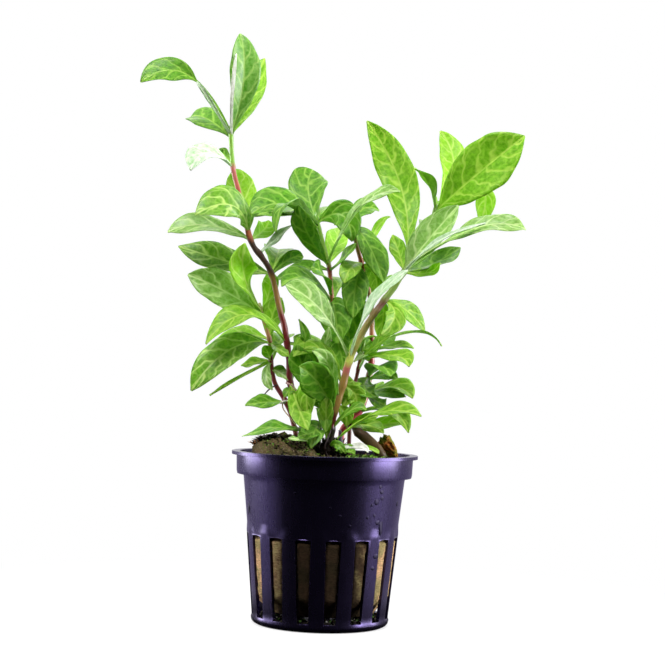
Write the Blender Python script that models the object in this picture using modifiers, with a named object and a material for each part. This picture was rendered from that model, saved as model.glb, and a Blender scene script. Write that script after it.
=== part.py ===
"""Potted hygrophila: stem cuttings growing from a rockwool plug in a slotted 50 mm pot.

The origin is the centre of the pot's underside, +Z is up, and -Y is the front.
Sizes below are in millimetres; every object is built in metres.
"""

import math
from collections import namedtuple

import bmesh
import bpy
from mathutils import Vector

MM = 0.001
CLEARANCE = 0.3  # gap between pieces that touch on the real plant
CUT_MARGIN = 1.0  # how far a cutter runs past the material that it cuts

# Pot
POT_HEIGHT = 50.0
RIM_RADIUS = 27.5
RIM_THICKNESS = 1.1
COLLAR_RADIUS = 26.0
COLLAR_STEP_HEIGHT = 43.4  # underside of the collar, and of the stacking step
BODY_TOP_RADIUS = 23.8
BODY_LOW_RADIUS = 22.1
BAR_TOP_HEIGHT = 28.0  # the slotted lower part stands proud of the body from here down
BAR_RELIEF = 0.3
FOOT_RADIUS = 18.4
FOOT_EDGE_RADIUS = 19.9
WALL = 1.0
FLOOR_THICKNESS = 1.2
POT_STEPS = 48
SLOT_COUNT = 16
SLOT_TURN = 8.65  # degrees from the front to the first slot's centre
SLOT_TOP_HEIGHT = 26.0
SLOT_LOW_HEIGHT = 2.4
SLOT_TOP_WIDTH = 4.4
SLOT_LOW_WIDTH = 3.3
DRAIN_COUNT = 8
DRAIN_WIDTH = 2.4
DRAIN_INNER_RADIUS = 6.5
DRAIN_OUTER_RADIUS = 15.0

# Rockwool plug: (radius, height) of its side, from the top edge down
WOOL_SIDE = ((21.5, 48.6), (22.1, 43.0), (20.3, 26.0), (18.0, 7.0), (16.2, 4.0))
WOOL_SEGMENTS = 24
WOOL_RINGS = 12
WOOL_MOUND_HEIGHT = 5.8
WOOL_MOUND_CENTRE = (-12.5, -3.0)
WOOL_MOUND_HALF_SIZE = (9.5, 12.0)
FLAKE_CENTRE = (19.2, -1.5, 52.6)
FLAKE_HALF_SIZE = (1.6, 3.2, 3.2)
FLAKE_LEAN = 25.0  # degrees, outward

# Stems: route from the root end up, with the radius at each end. All are planted in the plug.
Stem = namedtuple("Stem", "route base_radius top_radius")
SOCKET_TOP_HEIGHT = 60.0  # above all of the plug
STEMS = {
    "stem_tall_left": Stem(
        [(-4, 5, 28), (-4.5, 4, 50), (-8, 3, 60), (-11, 0, 70.5), (-11.5, -1, 77), (-13, -2, 86),
         (-14.5, -2, 91), (-17.5, -2.5, 102), (-20.5, -3, 107), (-24, -3, 112), (-28, -3, 126),
         (-30, -2.5, 133.5), (-31, -2, 144)], 1.1, 0.65),
    "stem_short_left": Stem(
        [(-8, 0, 28), (-8.5, 0, 51), (-9.5, 0.5, 58), (-12, 1, 64.5), (-15.5, 1.5, 70),
         (-17, 2, 76.5), (-17.5, 2, 82.5), (-19, 2, 87), (-20.5, 2, 92)], 0.85, 0.6),
    "stem_centre": Stem(
        [(1, 6.5, 28), (1.5, 6.5, 50), (2.3, 6, 62), (2.3, 5.5, 72), (1.8, 5.5, 80.5),
         (0.5, 5.5, 95), (-0.5, 5, 104.5), (-2, 5, 110), (-3.5, 5, 115), (-5, 5, 120)], 0.9, 0.6),
    "stem_back_right": Stem(
        [(4.5, 2, 28), (4.5, 2, 52), (5.5, 2.5, 57.5), (9.8, 4, 62.5), (11.7, 5.5, 67.5),
         (12.4, 6.5, 73), (13, 7, 77.5), (12.8, 7, 86.5), (12.2, 7, 95.5), (9.2, 7, 106.5),
         (7.2, 7, 113), (6, 7, 118.5)], 1.1, 0.6),
    "stem_side_shoot": Stem(
        [(7.5, -2, 28), (7, -2, 50), (7.3, -1, 64.5), (9, 0, 75), (10.3, 0, 82)], 0.7, 0.5),
    "stem_front_right": Stem(
        [(0.5, -5, 28), (1, -5, 50), (1.5, -5, 57), (2.2, -5.5, 62.5), (4.5, -6, 70),
         (6.2, -6.5, 77.5), (8.2, -6.5, 82.2), (10.7, -6, 87.3), (13.5, -5.5, 91.8),
         (16, -5, 95.5), (19, -5, 99.8), (21.5, -5, 104), (27.8, -4, 113), (30.5, -3, 123.5)],
        1.35, 0.75),
    "stem_young_shoot": Stem(
        [(-2, 0, 28), (-2.2, 0, 50), (-1.6, -1, 57), (-2, 0, 68), (-3, 0, 77)], 0.7, 0.5),
    "old_stem": Stem(
        [(16, -5.5, 38), (16.5, -5.5, 48), (15.8, -5.5, 51), (12.5, -5, 54.3), (9.3, -4.5, 56.6)],
        1.3, 1.0),
}
SPANS_PER_SEGMENT = 2  # curve pieces between two points of a stem's route
BUD_LENGTH = 1.8  # pointed end of a shoot, between its last pair of leaves
BUD_RADIUS = 0.35

# Leaves. Each grows from a stem at a height, and its midrib passes the crest at half its
# length on the way to the tip. The blade's upper side looks towards `face`. `stalk` is the
# share of the length that is bare petiole.
Leaf = namedtuple("Leaf", "stem height crest tip width face stalk", defaults=(0.0,))
LEAF_THICKNESS = 0.6
LEAF_SPANS = 8  # along the midrib
LEAF_FOLD = 0.25  # rise of the blade's edges, as a share of its half width
MIDRIB_STEP = 0.002  # share of the midrib that its start and its direction are found to
PETIOLE_WIDTH = 1.0
TIP_WIDTH = 0.5
BASE_TAPER = 1.2  # the blade's outline is t**BASE_TAPER * (1 - t)**TIP_TAPER
TIP_TAPER = 0.85
LEAVES = {
    "leaf_tall_left_1": Leaf("stem_tall_left", 70.5, (-8, -9, 63), (-5, -15, 57), 6, (0, -3, 1)),
    "leaf_tall_left_2": Leaf("stem_tall_left", 82, (-24, -9, 89.5), (-35, -15, 80.5), 9, (0, -2, 3)),
    "leaf_tall_left_3": Leaf("stem_tall_left", 102, (-32, 3, 105.5), (-46, 5, 109), 9, (0, -2, 1)),
    "leaf_tall_left_4": Leaf("stem_tall_left", 112, (-37, -5, 115.5), (-48, -7, 113), 8.5, (0, -1, 1)),
    "leaf_tall_left_5": Leaf("stem_tall_left", 114, (-30, -12, 121.5), (-39, -19, 117.5), 12, (0, -2, 1)),
    "leaf_tall_left_6": Leaf("stem_tall_left", 114, (-27, 6, 125), (-31, 14, 135), 9, (0, -1, 0)),
    "leaf_tall_left_7": Leaf("stem_tall_left", 133.5, (-37, -10, 136), (-41, -17, 130), 9, (0, -1, 1)),
    "leaf_tall_left_8": Leaf("stem_tall_left", 142, (-39, 7, 149), (-45, 17, 151), 9, (0, -2, 1)),
    "leaf_tall_left_9": Leaf("stem_tall_left", 142.8, (-43, -6, 160), (-57, -11, 156), 10, (0, -1, 1),
        stalk=0.25),
    "leaf_tall_left_10": Leaf("stem_tall_left", 142.8, (-27, 6, 156), (-22.5, 12, 169), 8, (1, -2, 0)),
    "leaf_tall_left_11": Leaf("stem_tall_left", 142.8, (-29.5, -7, 159), (-29, -7, 172), 11, (1, -2, 0)),
    "leaf_short_left_1": Leaf("stem_short_left", 64.5, (-18, -6, 65), (-22, -13, 64), 6, (0, -1, 1)),
    "leaf_short_left_2": Leaf("stem_short_left", 82, (-29, -7, 79), (-39, -12, 67), 10, (0, -2, 1)),
    "leaf_short_left_3": Leaf("stem_short_left", 83, (-29, 9, 85), (-36, 16, 80), 8, (0, -1, 1)),
    "leaf_short_left_4": Leaf("stem_short_left", 90, (-30, -2, 96), (-42, -4, 101), 11, (0, -3, 1)),
    "leaf_short_left_5": Leaf("stem_short_left", 91, (-25, -8, 100), (-25, -13, 110), 8.5, (0, -1, 0)),
    "leaf_centre_1": Leaf("stem_centre", 80.5, (-4, -1, 82), (-10, -8, 78), 8, (0, -1, 1)),
    "leaf_centre_2": Leaf("stem_centre", 95, (-7, -4, 101), (-14, -12, 98), 9, (0, -1, 1)),
    "leaf_centre_3": Leaf("stem_centre", 104.5, (-9, 9, 106), (-17, 13, 102), 7, (0, -1, 2)),
    "leaf_centre_4": Leaf("stem_centre", 106, (-8, -5, 113), (-13, -13, 116), 9, (-1, -2, 1)),
    "leaf_centre_5": Leaf("stem_centre", 106, (1, 13, 113), (2, 21, 119), 7, (0, -1, 0)),
    "leaf_centre_6": Leaf("stem_centre", 107, (8, -8, 122), (19, -16, 126), 6, (-1, 0, 1)),
    "leaf_centre_7": Leaf("stem_centre", 118.5, (2.5, 2.5, 122.5), (6, 3, 114), 10, (1, -4, 1)),
    "leaf_centre_8": Leaf("stem_centre", 118, (-13, -11, 122), (-16, -17, 113), 6, (-1, -1, 1)),
    "leaf_centre_9": Leaf("stem_centre", 119, (-15, -1, 123), (-24, -6, 119), 13, (0, -1, 1)),
    "leaf_centre_10": Leaf("stem_centre", 119, (-9, 11, 129), (-8, 17, 136), 12, (0, -2, 1)),
    "leaf_back_right_1": Leaf("stem_back_right", 62.5, (19, -2, 63), (24, -8, 57), 6, (0, -1, 2)),
    "leaf_back_right_2": Leaf("stem_back_right", 67.5, (19.5, 0, 70), (25, -6, 67), 8, (0, -2, 3)),
    "leaf_back_right_3": Leaf("stem_back_right", 73, (15, -7, 76), (18, -17, 73), 9, (0, -1, 2)),
    "leaf_back_right_4": Leaf("stem_back_right", 106, (7.5, 3, 100), (7, 1, 90), 8, (0, -1, 0)),
    "leaf_back_right_5": Leaf("stem_back_right", 107, (6, 0, 105), (4, -3, 100), 6, (0, -1, 1)),
    "leaf_back_right_6": Leaf("stem_back_right", 118, (12, 4, 112), (17, 2, 101), 9, (1, -2, 1)),
    "leaf_side_shoot_1": Leaf("stem_side_shoot", 78, (19, -11, 79), (23, -19, 76), 7, (0, -1, 1)),
    "leaf_side_shoot_2": Leaf("stem_side_shoot", 80.5, (19, -2, 83), (25, -4, 83), 6, (0, -1, 3)),
    "leaf_side_shoot_3": Leaf("stem_side_shoot", 81, (24.5, 5, 87), (33, 8, 83.5), 4, (0, 0, 1)),
    "leaf_front_right_1": Leaf("stem_front_right", 52, (14, -12, 62), (27, -18, 62), 8, (0, -1, 2)),
    "leaf_front_right_2": Leaf("stem_front_right", 62.5, (-2.5, -13, 70.5), (-8, -18, 75), 10, (-1, -3, 1)),
    "leaf_front_right_3": Leaf("stem_front_right", 77.5, (-3, -14, 89), (-13, -18, 96), 10, (-1, -2, 2),
        stalk=0.3),
    "leaf_front_right_4": Leaf("stem_front_right", 77.5, (11.5, -13, 92.5), (22, -16, 103.5), 7, (-1, -1, 1),
        stalk=0.3),
    "leaf_front_right_5": Leaf("stem_front_right", 95.5, (19, -5, 91), (15, -9, 85), 7, (1, -2, 0)),
    "leaf_front_right_6": Leaf("stem_front_right", 95.5, (23.5, 7, 95), (29, 12, 90), 8, (1, -2, 1)),
    "leaf_front_right_7": Leaf("stem_front_right", 104, (20, 5, 128), (9, 7, 150), 11, (0, -1, 0),
        stalk=0.12),
    "leaf_front_right_8": Leaf("stem_front_right", 104, (28, -6, 113), (36.5, -8, 123.5), 11, (-1, -2, 1)),
    "leaf_front_right_9": Leaf("stem_front_right", 104, (30, 5, 108), (39, 11, 113.5), 8, (0, -1, 3)),
    "leaf_front_right_10": Leaf("stem_front_right", 106, (41, -17, 116), (55, -18, 116), 8, (0, -1, 1),
        stalk=0.35),
    "leaf_front_right_11": Leaf("stem_front_right", 122.3, (29, -7, 129), (25, -14, 134), 4.5, (0, -1, 2)),
    "leaf_front_right_12": Leaf("stem_front_right", 122.3, (36, 9, 137), (32, 15, 149), 8, (0, -1, 0)),
    "leaf_front_right_13": Leaf("stem_front_right", 122.3, (42, -9, 133), (54.5, -14, 143.5), 16, (0, -3, 1)),
    "leaf_young_shoot_1": Leaf("stem_young_shoot", 57, (-11, -8, 56.5), (-20, -14, 58), 8, (0, -1, 1)),
}


def clear_scene():
    for item in list(bpy.data.objects):
        bpy.data.objects.remove(item, do_unlink=True)


def new_collection(name):
    collection = bpy.data.collections.new(name)
    bpy.context.scene.collection.children.link(collection)
    return collection


def new_material(name, colour, roughness):
    material = bpy.data.materials.new(name)
    material.use_nodes = True
    shader = material.node_tree.nodes["Principled BSDF"]
    shader.inputs["Base Color"].default_value = (*colour, 1.0)
    shader.inputs["Roughness"].default_value = roughness
    shader.inputs["Metallic"].default_value = 0.0
    return material


def new_object(name, mesh, collection, material=None):
    item = bpy.data.objects.new(name, mesh)
    if material:
        mesh.materials.append(material)
    collection.objects.link(item)
    return item


def mesh_from_bmesh(name, bm):
    mesh = bpy.data.meshes.new(name)
    bm.to_mesh(mesh)
    bm.free()
    return mesh


def mark_as_cutter(item):
    item.hide_render = True
    item.display_type = "WIRE"


def cut(item, cutter):
    boolean = item.modifiers.new("cut_" + cutter.name, "BOOLEAN")
    boolean.operation = "DIFFERENCE"
    boolean.object = cutter


# ---------------------------------------------------------------- pot


def pot_profile():
    """Outer side from the rim down to the underside's centre, then the inside back up."""
    lip = 0.4
    foot_rounding = 1.6
    inner_step = COLLAR_STEP_HEIGHT + WALL
    inner_bar_top = BODY_LOW_RADIUS - WALL
    return [
        (COLLAR_RADIUS - WALL + lip, POT_HEIGHT),
        (RIM_RADIUS - lip, POT_HEIGHT),
        (RIM_RADIUS, POT_HEIGHT - lip),
        (RIM_RADIUS, POT_HEIGHT - RIM_THICKNESS),
        (COLLAR_RADIUS, POT_HEIGHT - RIM_THICKNESS - lip),
        (COLLAR_RADIUS - lip / 2, COLLAR_STEP_HEIGHT),
        (BODY_TOP_RADIUS, COLLAR_STEP_HEIGHT),
        (BODY_LOW_RADIUS, BAR_TOP_HEIGHT + BAR_RELIEF),
        (BODY_LOW_RADIUS + BAR_RELIEF, BAR_TOP_HEIGHT - BAR_RELIEF),
        (FOOT_EDGE_RADIUS, foot_rounding),
        (FOOT_RADIUS + lip, lip),
        (FOOT_RADIUS, 0.0),
        (0.0, 0.0),
        (0.0, FLOOR_THICKNESS),
        (FOOT_RADIUS - WALL, FLOOR_THICKNESS),
        (FOOT_EDGE_RADIUS - WALL, FLOOR_THICKNESS + foot_rounding),
        (inner_bar_top, BAR_TOP_HEIGHT),
        (BODY_TOP_RADIUS - WALL, COLLAR_STEP_HEIGHT),
        (COLLAR_RADIUS - WALL - lip / 2, inner_step),
        (COLLAR_RADIUS - WALL, POT_HEIGHT - lip),
    ]


def turned_shell(name, profile, steps, collection, material):
    bm = bmesh.new()
    points = [bm.verts.new((radius * MM, 0.0, height * MM)) for radius, height in profile]
    for first, second in zip(points, points[1:] + points[:1]):
        on_axis = first.co.x == 0.0 and second.co.x == 0.0
        if not on_axis:
            bm.edges.new((first, second))
    item = new_object(name, mesh_from_bmesh(name, bm), collection, material)
    screw = item.modifiers.new("turn", "SCREW")
    screw.axis = "Z"
    screw.steps = steps
    screw.render_steps = steps
    screw.use_smooth_shade = True
    screw.use_merge_vertices = True
    screw.merge_threshold = 0.00001
    return item


def wedge(bm, angle, inner, outer, low, high, low_width, high_width):
    """A block that runs outward at an angle from the front, wider at the top than below."""
    outward = Vector((math.sin(angle), -math.cos(angle), 0.0))
    sideways = Vector((math.cos(angle), math.sin(angle), 0.0))
    for vert in bmesh.ops.create_cube(bm, size=2.0)["verts"]:
        along, across, up = vert.co
        radius = outer if along > 0 else inner
        height, width = (high, high_width) if up > 0 else (low, low_width)
        vert.co = (outward * radius + sideways * across * width / 2) * MM
        vert.co.z = height * MM


def pot_cutters(collection):
    bm = bmesh.new()
    for index in range(SLOT_COUNT):
        angle = math.radians(SLOT_TURN + 360 / SLOT_COUNT * index)
        wedge(bm, angle, FOOT_RADIUS - CUT_MARGIN, RIM_RADIUS, SLOT_LOW_HEIGHT, SLOT_TOP_HEIGHT,
              SLOT_LOW_WIDTH, SLOT_TOP_WIDTH)
    for index in range(DRAIN_COUNT):
        angle = math.radians(SLOT_TURN + 360 / DRAIN_COUNT * index)
        wedge(bm, angle, DRAIN_INNER_RADIUS, DRAIN_OUTER_RADIUS, -CUT_MARGIN,
              FLOOR_THICKNESS + CUT_MARGIN, DRAIN_WIDTH, DRAIN_WIDTH)
    bmesh.ops.recalc_face_normals(bm, faces=bm.faces)
    item = new_object("pot_slot_cutters", mesh_from_bmesh("pot_slot_cutters", bm), collection)
    mark_as_cutter(item)
    return item


def make_pot(collection, cutters):
    black = new_material("black_plastic", (0.012, 0.010, 0.020), 0.35)
    pot = turned_shell("pot", pot_profile(), POT_STEPS, collection, black)
    cut(pot, pot_cutters(cutters))
    return pot


# ---------------------------------------------------------------- stems


def smooth_route(route, spans=SPANS_PER_SEGMENT):
    """Points of a Catmull-Rom curve through the route."""
    points = [Vector(point) for point in route]
    ends = [2 * points[0] - points[1], *points, 2 * points[-1] - points[-2]]
    curve = [points[0]]
    for a, b, c, d in zip(ends, ends[1:], ends[2:], ends[3:]):
        for step in range(1, spans + 1):
            t = step / spans
            curve.append(
                (2 * b + (c - a) * t + (2 * a - 5 * b + 4 * c - d) * t**2
                 + (3 * b - a - 3 * c + d) * t**3) / 2)
    return curve


def stem_rings(stem):
    """Centres and radii of the stem's rings, from the root end to the tip of its bud."""
    centres = smooth_route(stem.route)
    low, high = centres[0].z, centres[-1].z
    radii = [
        stem.base_radius + (stem.top_radius - stem.base_radius) * (centre.z - low) / (high - low)
        for centre in centres]
    ahead = (centres[-1] - centres[-2]).normalized()
    return [*centres, centres[-1] + ahead * BUD_LENGTH], [*radii, BUD_RADIUS]


def stem_point(stem, height):
    """The stem's centre at a height above the pot's underside."""
    centres = stem_rings(stem)[0]
    for low, high in zip(centres, centres[1:]):
        if low.z <= height <= high.z:
            return low.lerp(high, (height - low.z) / (high.z - low.z))
    return centres[-1].copy()


def distance_to_stem(point, stem):
    """From a point to the stem's surface, measured square to its middle line."""
    centres, radii = stem_rings(stem)
    gaps = []
    for low, high, thick, thin in zip(centres, centres[1:], radii, radii[1:]):
        line = high - low
        share = max(0.0, min(1.0, (point - low).dot(line) / line.length_squared))
        gaps.append((point - low - line * share).length - thick - (thin - thick) * share)
    return min(gaps)


def tube(name, points, radii, collection, material=None):
    """A round tube through the points, as a curve with a bevel and closed ends."""
    data = bpy.data.curves.new(name, "CURVE")
    data.dimensions = "3D"
    data.bevel_depth = MM
    data.bevel_resolution = 2
    data.use_fill_caps = True
    spline = data.splines.new("POLY")
    spline.points.add(len(points) - 1)
    for spot, point, radius in zip(spline.points, points, radii):
        spot.co = (*(point * MM), 1.0)
        spot.radius = radius
    spline.use_smooth = True
    item = bpy.data.objects.new(name, data)
    if material:
        data.materials.append(material)
    collection.objects.link(item)
    return item


def mesh_copy_of_curve(item, collection):
    """The curve's tube as a mesh with its end caps welded on, which replaces the curve."""
    bpy.context.view_layer.update()
    evaluated = item.evaluated_get(bpy.context.evaluated_depsgraph_get())
    mesh = bpy.data.meshes.new_from_object(evaluated)
    bm = bmesh.new()
    bm.from_mesh(mesh)
    bmesh.ops.remove_doubles(bm, verts=bm.verts, dist=0.000001)
    bmesh.ops.recalc_face_normals(bm, faces=bm.faces)
    bm.to_mesh(mesh)
    bm.free()
    name, matrix = item.name, item.matrix_world.copy()
    bpy.data.objects.remove(item, do_unlink=True)
    solid = new_object(name, mesh, collection)
    solid.matrix_world = matrix
    return solid


def make_stems(collection):
    red = new_material("red_stem", (0.20, 0.035, 0.030), 0.45)
    brown = new_material("dead_stem", (0.045, 0.030, 0.018), 0.8)
    for name, stem in STEMS.items():
        centres, radii = stem_rings(stem)
        tube(name, centres, radii, collection, brown if name == "old_stem" else red)


def socket_cutter(name, stem, collection):
    """The hole that a stem is planted in: its buried end, a clearance wider all round."""
    rings = [ring for ring in zip(*stem_rings(stem)) if ring[0].z < SOCKET_TOP_HEIGHT]
    centres = [centre for centre, radius in rings]
    centres[0] = centres[0] - Vector((0, 0, 2 * CLEARANCE))
    radii = [radius + CLEARANCE for centre, radius in rings]
    cutter = mesh_copy_of_curve(tube(name + "_socket", centres, radii, collection), collection)
    mark_as_cutter(cutter)
    return cutter


# ---------------------------------------------------------------- rockwool


def wool_top(x, y):
    """Height of the plug's top: a mossy block stands above the rim on the left."""
    far_x = (x - WOOL_MOUND_CENTRE[0]) / WOOL_MOUND_HALF_SIZE[0]
    far_y = (y - WOOL_MOUND_CENTRE[1]) / WOOL_MOUND_HALF_SIZE[1]
    return WOOL_SIDE[0][1] + WOOL_MOUND_HEIGHT * math.exp(-(far_x**4) - far_y**4)


def make_rockwool(collection, cutters):
    """A ball's rings are moved onto the plug: top disc, tapered side, bottom disc."""
    wool = new_material("rockwool", (0.20, 0.17, 0.07), 0.95)
    bm = bmesh.new()
    bmesh.ops.create_uvsphere(bm, u_segments=WOOL_SEGMENTS, v_segments=WOOL_RINGS, radius=1.0)
    disc_rings = (WOOL_RINGS - len(WOOL_SIDE) + 1) // 2
    for vert in bm.verts:
        ring = round(math.acos(max(-1.0, min(1.0, vert.co.z))) / math.pi * WOOL_RINGS)
        turn = math.atan2(vert.co.y, vert.co.x)
        side = min(max(ring - disc_rings, 0), len(WOOL_SIDE) - 1)
        radius, height = WOOL_SIDE[side]
        inward = min(ring, WOOL_RINGS - ring) / disc_rings
        radius *= min(1.0, inward)
        x, y = radius * math.cos(turn), radius * math.sin(turn)
        if ring <= disc_rings:
            height = wool_top(x, y)
        vert.co = Vector((x, y, height)) * MM
    plug = new_object("rockwool", mesh_from_bmesh("rockwool", bm), collection, wool)
    for name, stem in STEMS.items():
        cut(plug, socket_cutter(name, stem, cutters))
    return plug


def make_flake(collection):
    """A loose flake of mossy wool that leans on the plug's right edge."""
    wool = new_material("wool_flake", (0.22, 0.13, 0.05), 0.95)
    bm = bmesh.new()
    bmesh.ops.create_icosphere(bm, subdivisions=2, radius=1.0)
    lean = math.tan(math.radians(FLAKE_LEAN))
    for vert in bm.verts:
        x, y, z = (share * half for share, half in zip(vert.co, FLAKE_HALF_SIZE))
        x -= z * lean
        vert.co = (Vector(FLAKE_CENTRE) + Vector((x, y, z))) * MM
    new_object("wool_flake", mesh_from_bmesh("wool_flake", bm), collection, wool)


# ---------------------------------------------------------------- leaves


def midrib(leaf, t):
    """Point of the midrib: a quadratic curve from the stem through the crest to the tip."""
    root = stem_point(STEMS[leaf.stem], leaf.height)
    crest, tip = Vector(leaf.crest), Vector(leaf.tip)
    pull = 2 * crest - (root + tip) / 2
    return root * (1 - t) ** 2 + pull * 2 * t * (1 - t) + tip * t**2


def first_clear_point(leaf):
    """Where along the midrib the blade's base stands clear of its stem."""
    fold_rise = LEAF_FOLD * PETIOLE_WIDTH / 2
    needed = LEAF_THICKNESS / 2 + CLEARANCE + fold_rise
    t = 0.0
    while distance_to_stem(midrib(leaf, t), STEMS[leaf.stem]) < needed:
        t += MIDRIB_STEP
    return t


def blade_width(leaf, share):
    widest = BASE_TAPER / (BASE_TAPER + TIP_TAPER)
    peak = widest**BASE_TAPER * (1 - widest) ** TIP_TAPER
    along = max(0.0, share - leaf.stalk) / (1 - leaf.stalk)
    outline = leaf.width * along**BASE_TAPER * (1 - along) ** TIP_TAPER / peak
    return max(outline, PETIOLE_WIDTH + (TIP_WIDTH - PETIOLE_WIDTH) * share)


def make_leaf(name, leaf, collection, material):
    """A flat grid laid along the midrib and folded a little, thickened to a blade."""
    bm = bmesh.new()
    bmesh.ops.create_grid(bm, x_segments=LEAF_SPANS, y_segments=2, size=1.0)
    start = first_clear_point(leaf)
    face = Vector(leaf.face).normalized()
    for vert in bm.verts:
        share = (vert.co.x + 1) / 2
        across = vert.co.y
        t = start + (1 - start) * share
        centre = midrib(leaf, t)
        ahead = (midrib(leaf, t + MIDRIB_STEP) - midrib(leaf, t - MIDRIB_STEP)).normalized()
        side = face.cross(ahead).normalized()
        upper = ahead.cross(side)
        half = blade_width(leaf, share) / 2
        vert.co = (centre + side * across * half + upper * abs(across) * half * LEAF_FOLD) * MM
    item = new_object(name, mesh_from_bmesh(name, bm), collection, material)
    item.data.shade_smooth()
    thicken = item.modifiers.new("thickness", "SOLIDIFY")
    thicken.thickness = LEAF_THICKNESS * MM
    thicken.offset = 0.0


def make_leaves(collection):
    green = new_material("green_leaf", (0.10, 0.30, 0.03), 0.4)
    for name, leaf in LEAVES.items():
        make_leaf(name, leaf, collection, green)


def main():
    clear_scene()
    parts = new_collection("potted_hygrophila")
    cutters = new_collection("cutters")
    make_pot(parts, cutters)
    make_rockwool(parts, cutters)
    make_flake(parts)
    make_stems(parts)
    make_leaves(parts)


main()
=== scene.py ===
"""Looks of the potted hygrophila: a finely built pot, rockwool, stems and leaves over the CAD frame.

Sizes are in millimetres and objects in metres. +Z is up and -Y is the front.
"""

import math
import random
from collections import namedtuple

import bmesh
import bpy
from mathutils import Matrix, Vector, noise


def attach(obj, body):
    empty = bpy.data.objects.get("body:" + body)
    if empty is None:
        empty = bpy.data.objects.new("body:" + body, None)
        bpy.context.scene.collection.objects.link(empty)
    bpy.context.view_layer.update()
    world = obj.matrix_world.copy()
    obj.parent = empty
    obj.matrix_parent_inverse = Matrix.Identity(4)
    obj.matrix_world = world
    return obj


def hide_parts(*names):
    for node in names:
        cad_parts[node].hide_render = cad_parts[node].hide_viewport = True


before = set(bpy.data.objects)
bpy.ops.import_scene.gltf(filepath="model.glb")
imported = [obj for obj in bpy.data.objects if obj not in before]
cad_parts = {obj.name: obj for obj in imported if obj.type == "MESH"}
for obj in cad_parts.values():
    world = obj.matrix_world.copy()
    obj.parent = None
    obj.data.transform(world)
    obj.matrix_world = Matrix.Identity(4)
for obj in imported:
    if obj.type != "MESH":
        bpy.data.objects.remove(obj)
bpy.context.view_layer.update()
MM = 0.001
SEED = 11

# ---------------------------------------------------------------- sizes shared with the solids

POT_HEIGHT = 50.0
RIM_RADIUS = 27.5
COLLAR_RADIUS = 26.0
COLLAR_STEP_HEIGHT = 43.4
BODY_TOP_RADIUS = 23.8
BODY_LOW_RADIUS = 22.1
BAR_TOP_HEIGHT = 28.0
BAR_RELIEF = 0.3
FOOT_RADIUS = 18.4
FOOT_EDGE_RADIUS = 19.9
FOOT_ROUNDING = 1.6
WALL = 1.0
SLOT_COUNT = 16
SLOT_TURN = 8.65
SLOT_TOP_HEIGHT = 26.0
SLOT_LOW_HEIGHT = 2.4
SLOT_TOP_WIDTH = 4.4
SLOT_LOW_WIDTH = 3.3
DRAIN_WIDTH = 2.4
DRAIN_INNER_RADIUS = 6.5
DRAIN_OUTER_RADIUS = 15.0

WOOL_SIDE = ((21.5, 48.6), (22.1, 43.0), (20.3, 26.0), (18.0, 7.0), (16.2, 4.0))
WOOL_MOUND_HEIGHT = 5.8
WOOL_MOUND_CENTRE = (-12.5, -3.0)
WOOL_MOUND_HALF_SIZE = (9.5, 12.0)
FLAKE_CENTRE = (19.2, -1.5, 52.6)
FLAKE_HALF_SIZE = (1.6, 3.2, 3.2)
FLAKE_LEAN = 25.0

Stem = namedtuple("Stem", "route base_radius top_radius")
STEMS = {
    "stem_tall_left": Stem(
        [(-4, 5, 28), (-4.5, 4, 50), (-8, 3, 60), (-11, 0, 70.5), (-11.5, -1, 77), (-13, -2, 86),
         (-14.5, -2, 91), (-17.5, -2.5, 102), (-20.5, -3, 107), (-24, -3, 112), (-28, -3, 126),
         (-30, -2.5, 133.5), (-31, -2, 144)], 1.1, 0.65),
    "stem_short_left": Stem(
        [(-8, 0, 28), (-8.5, 0, 51), (-9.5, 0.5, 58), (-12, 1, 64.5), (-15.5, 1.5, 70),
         (-17, 2, 76.5), (-17.5, 2, 82.5), (-19, 2, 87), (-20.5, 2, 92)], 0.85, 0.6),
    "stem_centre": Stem(
        [(1, 6.5, 28), (1.5, 6.5, 50), (2.3, 6, 62), (2.3, 5.5, 72), (1.8, 5.5, 80.5),
         (0.5, 5.5, 95), (-0.5, 5, 104.5), (-2, 5, 110), (-3.5, 5, 115), (-5, 5, 120)], 0.9, 0.6),
    "stem_back_right": Stem(
        [(4.5, 2, 28), (4.5, 2, 52), (5.5, 2.5, 57.5), (9.8, 4, 62.5), (11.7, 5.5, 67.5),
         (12.4, 6.5, 73), (13, 7, 77.5), (12.8, 7, 86.5), (12.2, 7, 95.5), (9.2, 7, 106.5),
         (7.2, 7, 113), (6, 7, 118.5)], 1.1, 0.6),
    "stem_side_shoot": Stem(
        [(7.5, -2, 28), (7, -2, 50), (7.3, -1, 64.5), (9, 0, 75), (10.3, 0, 82)], 0.7, 0.5),
    "stem_front_right": Stem(
        [(0.5, -5, 28), (1, -5, 50), (1.5, -5, 57), (2.2, -5.5, 62.5), (4.5, -6, 70),
         (6.2, -6.5, 77.5), (8.2, -6.5, 82.2), (10.7, -6, 87.3), (13.5, -5.5, 91.8),
         (16, -5, 95.5), (19, -5, 99.8), (21.5, -5, 104), (27.8, -4, 113), (30.5, -3, 123.5)],
        1.35, 0.75),
    "stem_young_shoot": Stem(
        [(-2, 0, 28), (-2.2, 0, 50), (-1.6, -1, 57), (-2, 0, 68), (-3, 0, 77)], 0.7, 0.5),
    "old_stem": Stem(
        [(16, -5.5, 38), (16.5, -5.5, 48), (15.8, -5.5, 51), (12.5, -5, 54.3), (9.3, -4.5, 56.6)],
        1.75, 1.5),
}
BUD_LENGTH = 1.8
BUD_RADIUS = 0.35

# height: where on the stem the leaf starts; crest and tip: the curve that its midrib follows;
# face: which way the upper side looks; look: which leaf material, some of which paint light and
# shade; stalk: the share of the length that is bare petiole; curl: how far the tip half bends
# towards the underside
Leaf = namedtuple("Leaf", "stem height crest tip width face look stalk curl", defaults=("mid", 0.0, 0.0))
FRONT = (0, -1, 0)
FRONT_UP = (0, -1, 1)
BACK_UP = (0, 1, 2)
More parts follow.
